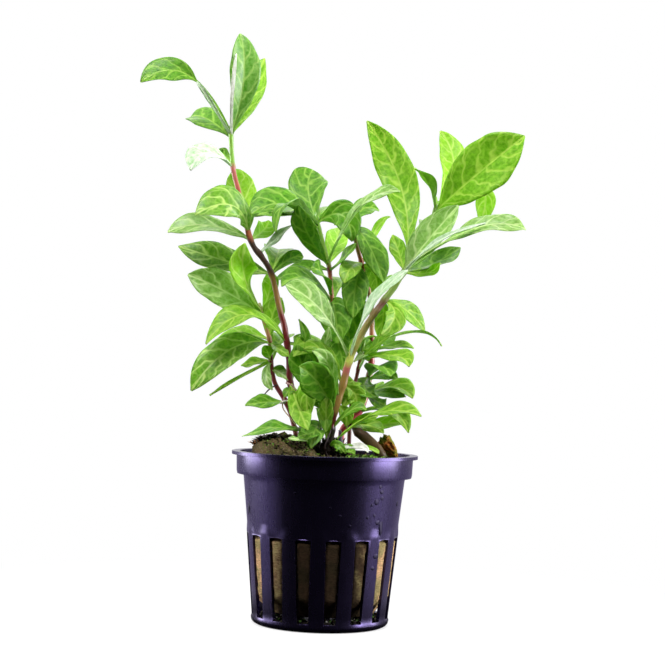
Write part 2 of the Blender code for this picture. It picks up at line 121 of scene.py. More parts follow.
# How steeply each half of a blade rises from the midrib
LEAF_FOLD = 0.25
PETIOLE_WIDTH = 1.0
TIP_WIDTH = 0.5
# Powers of the outline towards the petiole and towards the tip
BASE_TAPER = 1.2
TIP_TAPER = 0.85
# Side veins: their spacing; how far the two halves are out of step, and how far a vein's outer
# end is ahead of its start, both as shares of the spacing; and the power that bends a vein
VEIN_SPACING = 5.8
VEIN_TURN = 0.42
VEIN_LEAD = 1.15
VEIN_BEND = 1.35


def leaf_rows(rows_of_stems):
    """Leaves that are named after their stem and counted along it."""
    return {
        "leaf_%s_%d" % (stem, number): Leaf(stem, *row)
        for stem, rows in rows_of_stems.items() for number, row in enumerate(rows, 1)}


# Each row: height, crest, tip, width, face, look, stalk, curl
LEAVES = leaf_rows({
    "tall_left": [
        (70.5, (-8, -9, 63), (-5, -15, 57), 6, (0, -3, 1)),
        (82, (-24, -9, 89.5), (-35, -15, 80.5), 9, (0, -2, 3)),
        (102, (-32, 3, 106), (-46, 5, 110), 9, (0, -2, 1), "net"),
        (112, (-37, -5, 115.5), (-48, -7, 113), 8.5, FRONT_UP, "pale"),
        (114, (-29.3, -12, 120.8), (-39, -19, 117), 11.5, (0, -2, 1), "net"),
        (114, (-27, 6, 125), (-31, 14, 135), 9, FRONT, "lit"),
        (133.5, (-37, -10, 136), (-41, -17, 130), 9, FRONT_UP, "glare"),
        (142, (-39, 7, 149), (-45, 17, 151), 9, (0, -2, 1), "dark"),
        (142.8, (-43.5, -6, 159.3), (-57, -11, 156), 8.6, (0, -3, 1.3), "dark", 0.4),
        (142.8, (-27, 6, 156), (-22.5, 12, 169), 8, (1, -2, 0)),
        (142.8, (-27.5, -7, 159), (-29, -7, 172), 9.5, (1, -2, 0), "silver"),
    ],
    "short_left": [
        (64.5, (-17.5, -5, 64.3), (-23.5, -9, 63.3), 5.5, FRONT_UP, "dark"),
        (82, (-29, -7, 79), (-39, -12, 67), 10, (0, -2, 1), "net"),
        (83, (-28.5, 9, 84), (-35, 16, 79.5), 8, FRONT_UP, "lit"),
        (90, (-30, -2, 96), (-42, -4, 101), 11, (0, -3, 1), "pale"),
        (91, (-25, -8, 100), (-25, -13, 110), 8.5, FRONT_UP, "lit"),
    ],
    "centre": [
        (80.5, (-4, -1, 82), (-10, -8, 78), 8, FRONT_UP),
        (95, (-7, -4, 101), (-14, -12, 98), 9, FRONT_UP, "dark"),
        (104.5, (-9, 9, 104.5), (-17, 13, 101), 7, FRONT_UP, "deep"),
        (106, (-7.2, -5, 114.3), (-10, -9, 122), 7, (-1, -2, 1), "deep"),
        (106, (1, 13, 113), (2, 21, 119), 7, FRONT, "lit"),
        (107, (8, -8, 122), (19, -16, 126), 7, (-1, -0.6, 1), "pale"),
        (118.5, (2.6, 2.5, 120.7), (6, 3, 113), 9.4, (1, -4, 1), "deep"),
        (118, (-13, -11, 122), (-16, -17, 113), 6, (-1, -1, 1), "dark"),
        (119, (-15, -1, 123), (-24, -6, 119), 13, FRONT_UP, "deep"),
        (119, (-7.8, 11, 129), (-6.7, 17, 136), 12, (0, -3, 0.3), "dark"),
    ],
    "back_right": [
        (62.5, (19, -2, 63), (24, -8, 57), 6, (0, -1, 2)),
        (67.5, (19.5, 0, 70), (25, -6, 67), 8, (0, -2, 3)),
        (73, (15, -7, 76), (18, -17, 73), 9, (0, -1, 2), "dark"),
        (106, (7.5, 3, 100), (7, 1, 90), 8, FRONT, "dark"),
        (107, (6, 0, 105), (4, -3, 100), 6, FRONT_UP),
        (118, (11, 4, 112), (15.7, 2, 101), 9, (1, -2, 1), "dark"),
    ],
    "side_shoot": [
        (78, (19, -11, 79), (23, -19, 76), 7, FRONT_UP),
        (80.5, (19, -2, 81.8), (25, -4, 81.6), 6, (0, -1, 3)),
        (81, (25.5, 5, 86.8), (34, 8, 82.8), 2, (0, 0, 1)),
    ],
    "front_right": [
        (52, (14, -12, 62), (27, -18, 62), 8, (0, -1, 2), "mid", 0.35),
        (62.5, (-2.5, -13, 70.5), (-8, -18, 75), 10, (-1, -3, 0.6), "deep"),
        (77.5, (-1.8, -14, 90.5), (-12.7, -18, 98), 10, (-1, -2, 2), "pale", 0.3),
        (77.5, (11.5, -13, 92.5), (22, -16, 103.5), 5.5, (-1, -1, 1), "glare", 0.3),
        (95.5, (19, -5, 91), (15, -9, 85), 7, (1, -2, 0)),
        (95.5, (23.3, 7, 92.8), (29, 12, 87.5), 6, (1, -3, 1)),
        (104, (20.8, 5, 128), (9.3, 7, 150), 11, FRONT, "mid", 0.12),
        (104, (28, -6, 113), (36.5, -8, 123.5), 11, (-1, -2, 1), "pale"),
        (104, (30, 5, 107), (39, 11, 113), 10, (0, -1, 2.4), "dark"),
        (106, (41, -17, 116), (55, -18, 116), 8, FRONT_UP, "pale", 0.2),
        (122.3, (28, -7, 129.3), (23, -14, 133), 6, (0, -1, 2)),
        (122.3, (36, 9, 137), (32, 15, 149), 8, FRONT, "lit"),
        (122.3, (42, -9, 133), (54.5, -14, 143.5), 16, (0, -3, 1)),
    ],
    "young_shoot": [
        (57, (-13.5, -8, 57), (-20.5, -10, 59.5), 6, (0, -1, 2), "deep", 0.0, 8),
    ],
})
# Small leaves, and leaves on the far side, that no solid stands for, and one white strip that
# paints the glare on a leaf behind it; each row starts with its stem
SMALL_LEAVES = {"small_leaf_" + name: Leaf(*row) for name, row in {
    "top": ("tall_left", 133.5, (-34, 2, 138), (-37, 4, 137), 4, FRONT_UP, "dark"),
    "bend": ("tall_left", 102, (-12.5, 3, 107), (-8.5, 6, 108), 5, (0, -2, 1), "deep"),
    "low": ("tall_left", 82, (-7, -3, 83), (-9, -3, 89), 3, FRONT, "dark"),
    "thread": ("tall_left", 108, (-16.5, -3, 112.5), (-12, -5, 116.5), 3.2, FRONT_UP, "glare"),
    "behind": ("tall_left", 112, (-20.5, 6, 116), (-19.5, 8, 119), 6, FRONT, "lit"),
    "pale_stalk": ("tall_left", 142.8, (-37.3, -8, 152.3), (-41, -9, 157), 1.5, (-1, -2, 1), "glare"),
    # Not a leaf: a white strip along the leaf behind it, a painted highlight
    "painted_highlight_strip": ("tall_left", 142.8, (-30.3, -9.5, 154), (-29.7, -9.5, 165.5), 1.5, (-1, -2, 1), "dead"),
    "ledge": ("tall_left", 114, (-24, 0, 119.5), (-17.5, -1, 119.5), 3.5, FRONT_UP, "deep"),
    "wedge": ("short_left", 83, (-17, 2, 90), (-14.5, 3, 95.5), 6.5, FRONT),
    "tag": ("short_left", 74, (-14.4, 1, 73.9), (-12.6, 1, 72), 3.4, FRONT, "deep"),
    "bridge": ("centre", 97, (-2.5, -3, 102.5), (-6, -5, 104), 7.5, FRONT_UP, "deep"),
    "flank": ("young_shoot", 68, (-7, -5, 74.5), (-9, -6, 81.5), 7.5, FRONT, "deep"),
    "bib": ("young_shoot", 66, (-5.5, -9, 68), (-5, -10, 60), 6, FRONT),
    "wing": ("young_shoot", 74, (-6, 1, 80.5), (-10.5, 2, 84), 6, FRONT, "deep"),
    "post": ("front_right", 95.5, (16, 2, 90.5), (15, 3, 84), 5, FRONT),
    "step": ("back_right", 72, (17, -3, 73.8), (20.5, -5, 72.5), 3.5, FRONT, "deep"),
    "stair": ("back_right", 67.5, (18, -3, 68.3), (23, -5, 67.3), 3, FRONT, "deep"),
    "shelf": ("back_right", 57.5, (11, -6, 60.5), (15, -8, 61.5), 3, FRONT),
    "corner": ("front_right", 52, (3.5, -12, 53), (6, -13, 50.5), 2.5, FRONT, "dark"),
    "patch": ("back_right", 84, (11.5, 4.3, 82), (12, 3, 77.5), 6.4, FRONT, "deep"),
    "screen": ("centre", 84, (3, 4, 82), (5, 4, 74), 8, FRONT, "deep"),
    "red_stem": ("tall_left", 68, (-11, -3, 68), (-12.5, -4, 66), 3.5, FRONT_UP, "dark"),
    "needle": ("short_left", 76.5, (-25, 0, 72), (-34.5, -2, 65.8), 1.6, FRONT_UP),
    "side": ("short_left", 76.5, (-21, 4, 76), (-26, 6, 75), 4, FRONT_UP),
    "upright": ("short_left", 91, (-18, 3, 98.5), (-19, 4, 103), 5, FRONT, "lit"),
    "twig": ("short_left", 82, (-14.5, -2, 80), (-11.5, -3, 78), 3.5, FRONT_UP),
    "nub": ("short_left", 76.5, (-18, 0, 79), (-19, 0, 81), 4, FRONT_UP),
    "drop": ("short_left", 76.5, (-18, -2, 72), (-16, -3, 68), 3, FRONT, "pale"),
    "slip": ("short_left", 74, (-14, 0, 73), (-11.5, -1, 71), 3, FRONT_UP, "pale"),
    "middle": ("centre", 104.5, (4, -1, 108), (7, -3, 112), 4, FRONT_UP, "dark"),
    "fold": ("centre", 117, (-13.5, -4, 120), (-22, -9, 118.5), 5, FRONT_UP, "dark"),
    "hanging": ("centre", 118, (-5.8, 8, 117.3), (-7, 10, 113), 7.4, FRONT, "dark"),
    "shade": ("centre", 95, (1.5, 3, 92), (3, 2, 82), 10, FRONT, "dark"),
    "root": ("centre", 62, (-2, 0, 65.5), (-4, -1, 68), 5, FRONT, "dark"),
    "star": ("back_right", 118, (9, 10, 123.5), (14, 12, 123.5), 7, FRONT_UP, "deep"),
    "strip": ("back_right", 106.5, (13.5, 12, 118), (17.5, 14, 122), 2.5, FRONT_UP, "lit"),
    "wool": ("back_right", 57.5, (18, 0, 59), (23.5, -2, 60.5), 5, FRONT_UP, "lit"),
    "inner": ("back_right", 95.5, (7, 6, 90.5), (5, 7, 82), 7, FRONT, "dark"),
    "under": ("back_right", 106.5, (13, 5, 103.5), (14, 5, 97), 6, FRONT),
    "crook": ("back_right", 67.5, (15, -3, 65.5), (17.5, -5, 64.5), 4.5, FRONT_UP, "dark"),
    "elbow": ("back_right", 73, (11, -1, 69.5), (14.5, -3, 67), 7, FRONT_UP, "dark"),
    "lift": ("side_shoot", 78, (14, -4, 82), (18, -6, 85), 4, FRONT_UP),
    "edge": ("side_shoot", 75, (10.5, -4, 79), (7.5, -6, 77), 2.5, FRONT_UP, "pale"),
    "heap": ("side_shoot", 70, (7.3, -2.5, 71.2), (5, -4, 68.5), 6.5, FRONT_UP),
    "foot": ("side_shoot", 64.5, (6.3, -3, 66.4), (5, -4, 63.6), 5, FRONT_UP),
    "pair": ("front_right", 66, (0.5, -12, 75.5), (-4.5, -15, 79.5), 5, (-1, -2, 1), "pale"),
    "beside": ("front_right", 70, (-1.5, -9, 79.5), (-7, -12, 80), 6, FRONT_UP),
    "streak": ("front_right", 104, (30.6, -15, 112.2), (43.3, -20.5, 117.2), 2.4, FRONT_UP, "glare"),
    "gap": ("front_right", 122, (44, 6, 131), (44.5, 8, 119.5), 6, FRONT, "lit", 0.5),
    "fork": ("front_right", 104, (20, 2, 110), (18, 4, 115.5), 5, FRONT),
    "axil": ("front_right", 104, (28, -2, 103.7), (32, -3, 107), 4.5, FRONT_UP, "lit"),
    "base": ("front_right", 52, (0, -8, 61.5), (0.5, -9, 66.5), 4, FRONT),
    "front": ("front_right", 57, (7.5, -8, 63), (11.5, -9, 63), 3.5, FRONT_UP, "deep"),
    "rim": ("front_right", 52, (5.5, -9, 51.5), (8.5, -13, 50.5), 4, FRONT_UP, "dark"),
    "dead": ("front_right", 51, (9.3, -11, 52.6), (12.3, -13, 51), 2.3, FRONT_UP, "dead"),
    "edge_strip": ("back_right", 52.5, (12.5, -8, 52), (15.5, -11, 50.8), 2, FRONT_UP, "lit"),
    "curtain": ("front_right", 64, (5.5, -3, 62), (6, -2, 58), 4.5, FRONT),
    "pane": ("front_right", 70, (8.3, -4, 67.5), (8.5, -4, 63), 6, FRONT),
    "lobe": ("back_right", 57.5, (12, -3, 58.5), (17, -5, 56.5), 5, FRONT_UP),
    "chip": ("young_shoot", 54, (-7, -12, 54), (-10.5, -14, 54.5), 2.5, FRONT_UP, "pale"),
    "young": ("young_shoot", 76, (-1, -2, 82), (0, -3, 87), 3, FRONT, "pale"),
    "sunk": ("young_shoot", 54, (-4.5, -9, 55.5), (-8, -12, 54.5), 5, FRONT_UP, "dark"),
    "skirt": ("young_shoot", 57, (-3, -7, 57), (-4, -11, 51.5), 6, FRONT, "dark"),
    "apron": ("young_shoot", 62, (-0.5, -6, 63), (0, -8, 56), 5, FRONT, "dark"),
}.items()}
FAR_LEAVES = {"far_leaf_%d" % number: Leaf(*row, BACK_UP) for number, row in {
    1: ("tall_left", 70.5, (-7, 10, 81.5), (-6, 16, 80), 8),
    2: ("tall_left", 102, (-16, 8, 110), (-18, 18, 108), 9),
    4: ("short_left", 76.5, (-14, 10, 84), (-15, 18, 82), 7),
    5: ("centre", 95, (4, 13, 102), (5, 22, 101), 8),
    6: ("centre", 72, (-1, 14, 78), (-3, 22, 75), 8),
    7: ("back_right", 77.5, (16, 14, 84), (18, 22, 82), 8),
    8: ("back_right", 95.5, (16, 14, 102), (20, 21, 100), 8),
    9: ("front_right", 77.5, (10, 4, 84), (14, 13, 81), 7),
    10: ("front_right", 113, (30, 8, 120), (33, 17, 117), 8),
    11: ("centre", 119, (-4, 14, 124), (-6, 21, 119), 8),
    12: ("back_right", 67.5, (13, 13, 70), (15, 21, 66), 8),
}.items()}


# ---------------------------------------------------------------- material helpers


def linear_colour(value):
    """Three 8-bit sRGB values as linear RGBA. Sockets and linear colours stay as they are."""
    if not isinstance(value, tuple) or len(value) != 3:
        return value
    shares = [part / 255 for part in value]
    linear = [share / 12.92 if share <= 0.04045 else ((share + 0.055) / 1.055) ** 2.4 for share in shares]
    return (*linear, 1.0)


class Nodes:
    """Short calls for building a node tree. A value is a socket, which is linked, or a constant."""

    def __init__(self, tree):
        self.tree = tree

    def set(self, socket, value):
        if isinstance(value, bpy.types.NodeSocket):
            self.tree.links.new(value, socket)
        else:
            socket.default_value = value

    def fill(self, node, **inputs):
        """Sets a node's inputs by name, with _ for each space."""
        for key, value in inputs.items():
            self.set(node.inputs[key.replace("_", " ")], value)

    def add(self, kind, settings=None, **inputs):
        node = self.tree.nodes.new(kind)
        for key, value in (settings or {}).items():
            setattr(node, key, value)
        self.fill(node, **inputs)
        return node

    def result(self, kind, settings, values, output=0):
        """An output of a new node whose inputs are set by number."""
        node = self.add(kind, settings)
        for number, value in values.items():
            self.set(node.inputs[number], value)
        return node.outputs[output]

    def math(self, operation, *values, clamp=False):
        settings = {"operation": operation, "use_clamp": clamp}
        return self.result("ShaderNodeMath", settings, dict(enumerate(values)))

    def remap(self, value, low, high, to_low=0.0, to_high=1.0, smooth=True):
        settings = {"interpolation_type": "SMOOTHSTEP" if smooth else "LINEAR"}
        values = dict(enumerate((value, low, high, to_low, to_high)))
        return self.result("ShaderNodeMapRange", settings, values)

    def mix(self, share, first, second, blend="MIX"):
        """Mixes two colours, each a socket, three 8-bit sRGB values or four linear ones."""
        values = {0: share, 6: linear_colour(first), 7: linear_colour(second)}
        return self.result("ShaderNodeMix", {"data_type": "RGBA", "blend_type": blend}, values, 2)

    def mix_float(self, share, first, second):
        return self.result("ShaderNodeMix", {"data_type": "FLOAT"}, {0: share, 2: first, 3: second})

    def mix_shaders(self, share, first, second):
        """Gives the material's output a mix of two shaders."""
        values = {0: share, 1: first.outputs[0], 2: second.outputs[0]}
        mixed = self.result("ShaderNodeMixShader", {}, values)
        self.fill(self.tree.nodes["Material Output"], Surface=mixed)

    def noise(self, vector, scale, detail=4.0, roughness=0.55):
        settings = {"Vector": vector, "Scale": scale, "Detail": detail, "Roughness": roughness}
        return self.add("ShaderNodeTexNoise", **settings).outputs["Fac"]

    def ramp(self, value, stops):
        node = self.tree.nodes.new("ShaderNodeValToRGB")
        self.set(node.inputs[0], value)
        elements = node.color_ramp.elements
        while len(elements) < len(stops):
            elements.new(0.5)
        for element, (position, colour) in zip(elements, stops):
            element.position = position
            element.color = linear_colour(colour)
        return node.outputs[0]

    def stretch(self, vector, scale):
        return self.add("ShaderNodeMapping", Vector=vector, Scale=scale).outputs[0]

    def split(self, vector):
        return self.add("ShaderNodeSeparateXYZ", Vector=vector).outputs

    def object_mm(self):
        """The point's own coordinates in millimetres."""
        return self.stretch(self.add("ShaderNodeTexCoord").outputs["Object"], (1000, 1000, 1000))


def new_material(name):
    """A material with its node calls and its Principled shader."""
    material = bpy.data.materials.new(name)
    material.use_nodes = True
    nodes = Nodes(material.node_tree)
    return material, nodes, material.node_tree.nodes["Principled BSDF"]


def bump(nodes, shader, height, distance, strength):
    """Roughens a shader's normals by a height that runs over the distance in millimetres."""
    node = nodes.add("ShaderNodeBump", Height=height, Distance=distance * MM, Strength=strength)
    nodes.set(shader.inputs["Normal"], node.outputs[0])


def mottled_material(name, dark, light, scale, mix_range, roughness):
    """A material of two colours mixed by a noise, which mix_range may sharpen, and its nodes."""
    material, nodes, shader = new_material(name)
    speck = nodes.noise(nodes.object_mm(), scale, 3)
    share = nodes.remap(speck, *mix_range) if mix_range else speck
    nodes.fill(shader, Base_Color=nodes.mix(share, dark, light),
               Roughness=nodes.remap(speck, 0.3, 0.7, *roughness))
    return material, nodes, shader


def shadow_of(rgb):
    """A darker version of a colour, for its hollows."""
    return tuple(int(value * 0.6) for value in rgb)


# ---------------------------------------------------------------- leaf materials

LeafLook = namedtuple("LeafLook", "deep light vein vein_share translucent roughness coat")
# Besides each leaf's own green, some looks paint light and shade: lit is a painted lit copy for leaves
# that the lamps reach too little; dark and deep are painted shaded copies, partly the leaves' own darker
# green; pale and silver paint a whitish sheen of reflection over the leaves' own green, and glare paints
# a strong glare; dead is a dead leaf's colour, and on the white strip it is a painted glare
LEAF_LOOKS = {
    "mid": LeafLook((94, 154, 18), (150, 202, 50), (204, 228, 100), 0.90, 0.44, 0.42, 0.10),
    "deep": LeafLook((54, 116, 14), (108, 172, 34), (176, 214, 92), 0.80, 0.38, 0.40, 0.12),
    "net": LeafLook((70, 130, 20), (132, 186, 52), (210, 232, 132), 0.95, 0.38, 0.38, 0.15),
    "dark": LeafLook((54, 112, 14), (106, 166, 36), (166, 206, 84), 0.8, 0.30, 0.45, 0.08),
    "lit": LeafLook((134, 196, 34), (182, 228, 70), (228, 242, 136), 0.85, 0.50, 0.48, 0.05),
    "silver": LeafLook((70, 136, 30), (130, 178, 82), (176, 208, 112), 0.7, 0.30, 0.36, 0.25),
    "pale": LeafLook((110, 160, 62), (164, 204, 108), (222, 238, 170), 0.95, 0.42, 0.34, 0.25),
    "glare": LeafLook((156, 196, 140), (214, 232, 206), (240, 246, 228), 0.85, 0.28, 0.30, 0.45),
    "dead": LeafLook((196, 196, 180), (242, 240, 234), (250, 250, 246), 0.6, 0.20, 0.50, 0.0),
}
UNDERSIDE_SHARE = 0.35
UNDERSIDE_COLOUR = (150, 184, 112)
UNDERSIDE_COAT = 0.3
GLOW_SHARE = 0.5
GLOW_COLOUR = (170, 230, 40)


def vein_group():
    """From the blade's own coordinates, how far a point belongs to a vein and how it bulges.

    The first map runs along in units of one side vein and across from -1 to 1; the second is
    in millimetres.
    """
    group = bpy.data.node_groups.new("leaf_veins", "ShaderNodeTree")
    for name in ("Vein", "Bulge", "Tone"):
        group.interface.new_socket(name, in_out="OUTPUT", socket_type="NodeSocketFloat")
    nodes = Nodes(group)
    output = group.nodes.new("NodeGroupOutput")
    share = nodes.split(nodes.add("ShaderNodeUVMap", {"uv_map": "blade"}).outputs[0])
    mm_map = nodes.add("ShaderNodeUVMap", {"uv_map": "blade_mm"}).outputs[0]
    size = nodes.split(mm_map)
    sway = nodes.math("SUBTRACT", nodes.noise(mm_map, 0.3, 1), 0.5)
    across = nodes.math("ABSOLUTE", share[1])
    # The two halves' veins leave the midrib in turn.
    turn = nodes.remap(share[1], -0.01, 0.01, 0.0, VEIN_TURN)
    lead = nodes.math("MULTIPLY", nodes.math("POWER", across, VEIN_BEND), VEIN_LEAD)
    phase = nodes.math("SUBTRACT", nodes.math("ADD", share[0], turn), lead)
    phase = nodes.math("ADD", phase, nodes.math("MULTIPLY", sway, 0.85))
    saw = nodes.math("ABSOLUTE", nodes.math("SUBTRACT", nodes.math("FRACT", phase), 0.5))
    side_width = nodes.remap(across, 0.0, 1.0, 0.22, 0.13, smooth=False)
    side_vein = nodes.remap(saw, 0.0, side_width, 1.0, 0.0)
    midrib_vein = nodes.remap(nodes.math("ABSOLUTE", size[1]), 0.12, 0.42, 1.0, 0.0)
    # A vein near the edge joins the side veins' ends in loops, and a faint net fills the rest.
    wave = nodes.math("MULTIPLY", nodes.math("COSINE", nodes.math("MULTIPLY", phase, math.tau)), 0.07)
    loop = nodes.math("SUBTRACT", nodes.math("SUBTRACT", across, 0.76), wave)
    loop = nodes.remap(nodes.math("ABSOLUTE", loop), 0.0, 0.09, 1.0, 0.0)
    cells = nodes.add("ShaderNodeTexVoronoi", {"feature": "DISTANCE_TO_EDGE"}, Vector=mm_map,
                      Scale=0.36, Randomness=0.9).outputs[0]
    net = nodes.math("MULTIPLY", nodes.remap(cells, 0.02, 0.12, 1.0, 0.0), 0.22)
    strong = nodes.math("MAXIMUM", side_vein, midrib_vein)
    vein = nodes.math("MAXIMUM", strong, nodes.math("MAXIMUM", nodes.math("MULTIPLY", loop, 0.55), net))
    fade = nodes.remap(nodes.noise(mm_map, 0.3, 2), 0.3, 0.62, 0.6, 1.0)
    nodes.fill(output, Vein=nodes.math("MULTIPLY", vein, fade, clamp=True),
               Bulge=nodes.math("SUBTRACT", nodes.remap(saw, 0.0, 0.5), vein),
               Tone=nodes.noise(mm_map, 0.8, 5, 0.62))
    return group


def leaf_material(name, look, veins, underside=False):
    """Waxy tissue with pale veins, mixed with light that comes through the blade."""
    material, nodes, shader = new_material(name)
    vein, bulge, tone = nodes.add("ShaderNodeGroup", {"node_tree": veins}).outputs
    tint = nodes.mix(nodes.remap(tone, 0.3, 0.7), look.deep, look.light)
    tint = nodes.mix(nodes.math("MULTIPLY", vein, look.vein_share), tint, look.vein)
    if underside:
        tint = nodes.mix(UNDERSIDE_SHARE, tint, UNDERSIDE_COLOUR)
    nodes.fill(
        shader, Base_Color=tint,
        Roughness=nodes.remap(tone, 0.2, 0.8, look.roughness - 0.06, look.roughness + 0.10),
        Coat_Weight=look.coat * (UNDERSIDE_COAT if underside else 1.0), Coat_Roughness=0.28,
        Specular_IOR_Level=0.25 + look.coat)
    bump(nodes, shader, bulge, 0.08, 0.6)
    through = nodes.add("ShaderNodeBsdfTranslucent", Color=nodes.mix(GLOW_SHARE, tint, GLOW_COLOUR))
    nodes.mix_shaders(look.translucent, shader, through)
    return material


# ---------------------------------------------------------------- mesh helpers


def new_object(name, bm, *materials):
    """A smooth object from a bmesh, which is used up."""
    mesh = bpy.data.meshes.new(name)
    bm.to_mesh(mesh)
    bm.free()
    mesh.shade_smooth()
    for material in materials:
        mesh.materials.append(material)
    item = bpy.data.objects.new(name, mesh)
    bpy.context.scene.collection.objects.link(item)
    return item


def share_of(value, low, high):
    """How far a value is from low to high, from 0 to 1."""
    return max(0.0, min(1.0, (value - low) / (high - low)))


def between(first, second, share):
    """The number at a share of the way from the first to the second."""
    return first + (second - first) * share


def around(radius, turn, height):
    """The point at a radius, at a turn about the pot's axis and at a height."""
    return Vector((radius * math.cos(turn), radius * math.sin(turn), height))


def join_rings(bm, rings):
    """Quads between closed rings of equally many points."""
    for low, high in zip(rings, rings[1:]):
        for here in range(len(low)):
            after = (here + 1) % len(low)
            bm.faces.new((low[here], low[after], high[after], high[here]))


def smooth_route(route, spans):
    """Points of a Catmull-Rom curve through the route."""
    points = [Vector(point) for point in route]
    ends = [2 * points[0] - points[1], *points, 2 * points[-1] - points[-2]]
    curve = [points[0]]
    for a, b, c, d in zip(ends, ends[1:], ends[2:], ends[3:]):
        for step in range(1, spans + 1):
            t = step / spans
            curve.append(
                (2 * b + (c - a) * t + (2 * a - 5 * b + 4 * c - d) * t**2
                 + (3 * b - a - 3 * c + d) * t**3) / 2)
    return curve


def tube_into(bm, centres, radii, sides=14, ripple=0.0, seed=0.0):
    """Adds a closed round tube through the centres, with a slightly uneven skin."""
    rings = []
    side = Vector((1, 0, 0))
    for index, (centre, radius) in enumerate(zip(centres, radii)):
        before, after = centres[max(index - 1, 0)], centres[min(index + 1, len(centres) - 1)]
        ahead = (after - before).normalized()
        side = (side - ahead * side.dot(ahead)).normalized()
        up = ahead.cross(side)
        ring = []
        for step in range(sides):
            turn = math.tau * step / sides
            outward = side * math.cos(turn) + up * math.sin(turn)
            uneven = 1 + ripple * noise.noise(centre * 0.5 + outward * 0.8 + Vector((seed, 0, 0)))
            ring.append(bm.verts.new((centre + outward * radius * uneven) * MM))
        rings.append(ring)
    join_rings(bm, rings)
    bm.faces.new(list(reversed(rings[0])))
    bm.faces.new(rings[-1])


# ---------------------------------------------------------------- stems

NODE_SWELLING = 0.2
NODE_LENGTH = 1.0
# The stems' colours, each from a height above the pot's underside
STEM_COLOURS = {
    "stem_tall_left": [
        (56, (70, 20, 24)), (70, (112, 28, 40)), (90, (120, 34, 42)), (92, (150, 110, 66)),
        (101, (128, 92, 48)), (103, (58, 30, 20)), (111, (52, 28, 22)), (113, (168, 92, 58)),
        (126, (176, 84, 62)), (133, (170, 96, 88)), (135, (120, 170, 60))],
    "stem_short_left": [
        (52, (120, 50, 48)), (66, (110, 26, 36)), (78, (112, 36, 34)), (84, (168, 120, 80)),
        (92, (140, 150, 70))],
    "stem_centre": [
        (60, (90, 60, 36)), (80, (150, 86, 56)), (94, (172, 110, 70)), (102, (150, 78, 54)),
        (104.5, (96, 20, 22)), (107, (110, 140, 50)), (118, (110, 160, 50))],
    "stem_back_right": [
        (52, (70, 24, 28)), (54, (180, 48, 68)), (62, (176, 50, 68)), (64.5, (150, 90, 60)),
        (73, (140, 104, 62)), (75, (172, 56, 62)), (80, (160, 60, 62)), (90, (140, 110, 60)),
        (104, (150, 100, 56)), (108, (150, 60, 40)), (118, (120, 160, 60))],
    "stem_side_shoot": [(56, (110, 50, 44)), (76, (140, 60, 56)), (80, (110, 150, 50))],
    "stem_front_right": [
        (52, (24, 16, 14)), (57.5, (34, 20, 20)), (58.5, (120, 26, 42)), (61, (130, 40, 48)),
        (62.5, (142, 112, 56)), (72, (138, 110, 52)), (75, (182, 90, 96)), (77, (196, 210, 100)),
        (80, (158, 158, 74)), (90, (122, 110, 50)), (94, (90, 50, 40)), (97, (110, 140, 56)),
        (120, (120, 168, 60))],
    "stem_young_shoot": [(52, (60, 48, 26)), (62, (100, 130, 40)), (76, (120, 160, 50))],
    "old_stem": [(50, (70, 58, 34)), (53, (96, 76, 50)), (56, (70, 54, 40))],
}
STREAK_LIGHT = (196, 160, 140)
STREAK_DARK = (30, 14, 14)
# How shiny living stems are; the old stem is dull
LIVING_COAT = 0.3


def stem_centres(stem, spans):
    """Points along a stem's middle, with its bud's end as the last."""
    centres = smooth_route(stem.route, spans)
    ahead = (centres[-1] - centres[-2]).normalized()
    return [*centres, centres[-1] + ahead * BUD_LENGTH]


def stem_point(stem, height):
    """The stem's centre at a height above the pot's underside."""
    centres = stem_centres(stem, 2)
    for low, high in zip(centres, centres[1:]):
        if low.z <= height <= high.z:
            return low.lerp(high, (height - low.z) / (high.z - low.z))
    return centres[-1].copy()


def stem_radius(stem, height):
    """The stem narrows evenly from the start of its route to the end."""
    share = share_of(height, stem.route[0][2], stem.route[-1][2])
    return between(stem.base_radius, stem.top_radius, share)


def leaf_heights(name):
    """Heights at which a stem carries leaves, which are where it has its nodes."""
    every = [*LEAVES.values(), *SMALL_LEAVES.values(), *FAR_LEAVES.values()]
    return sorted({leaf.height for leaf in every if "stem_" + leaf.stem == name})


def make_stem(name, stem, material):
    """A stem from inside the wool to its bud, thicker at its nodes."""
    centres = stem_centres(stem, 8)
    knots = leaf_heights(name)
    radii = []
    for centre in centres:
        swell = sum(math.exp(-(((centre.z - knot) / NODE_LENGTH) ** 2)) for knot in knots)
        radii.append(stem_radius(stem, centre.z) * (1 + NODE_SWELLING * min(swell, 1.0)))
    radii[-1] = BUD_RADIUS
    bm = bmesh.new()
    tube_into(bm, centres, radii, ripple=0.12, seed=len(name))
    item = new_object(name + "_skin", bm, material)
    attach(item, "root")
    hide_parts(name)


def stem_material(name, stops, coat):
    """Smooth stem tissue whose colour changes with height, with lengthways streaks."""
    material, nodes, shader = new_material(name + "_tissue")
    place = nodes.object_mm()
    sway = nodes.math("MULTIPLY", nodes.math("SUBTRACT", nodes.noise(place, 0.9, 3), 0.5), 2.0)
    low, high = stops[0][0], stops[-1][0]
    share = nodes.remap(nodes.math("ADD", nodes.split(place)[2], sway), low, high, smooth=False)
    tint = nodes.ramp(share, [((height - low) / (high - low), rgb) for height, rgb in stops])
    streak = nodes.noise(nodes.stretch(place, (3.2, 3.2, 0.35)), 1.0, 5, 0.65)
    tint = nodes.mix(nodes.remap(streak, 0.35, 0.75, 0.0, 0.5), tint, STREAK_LIGHT, "SOFT_LIGHT")
    tint = nodes.mix(nodes.remap(streak, 0.25, 0.5, 0.4, 0.0), tint, STREAK_DARK)
    nodes.fill(
        shader, Base_Color=tint, Roughness=nodes.remap(streak, 0.2, 0.8, 0.28, 0.5),
        Subsurface_Weight=0.15, Subsurface_Scale=0.5 * MM,
        Coat_Weight=coat, Coat_Roughness=0.2, Specular_IOR_Level=0.2 + coat)
    bump(nodes, shader, streak, 0.12, 0.6)
    return material


# ---------------------------------------------------------------- leaves

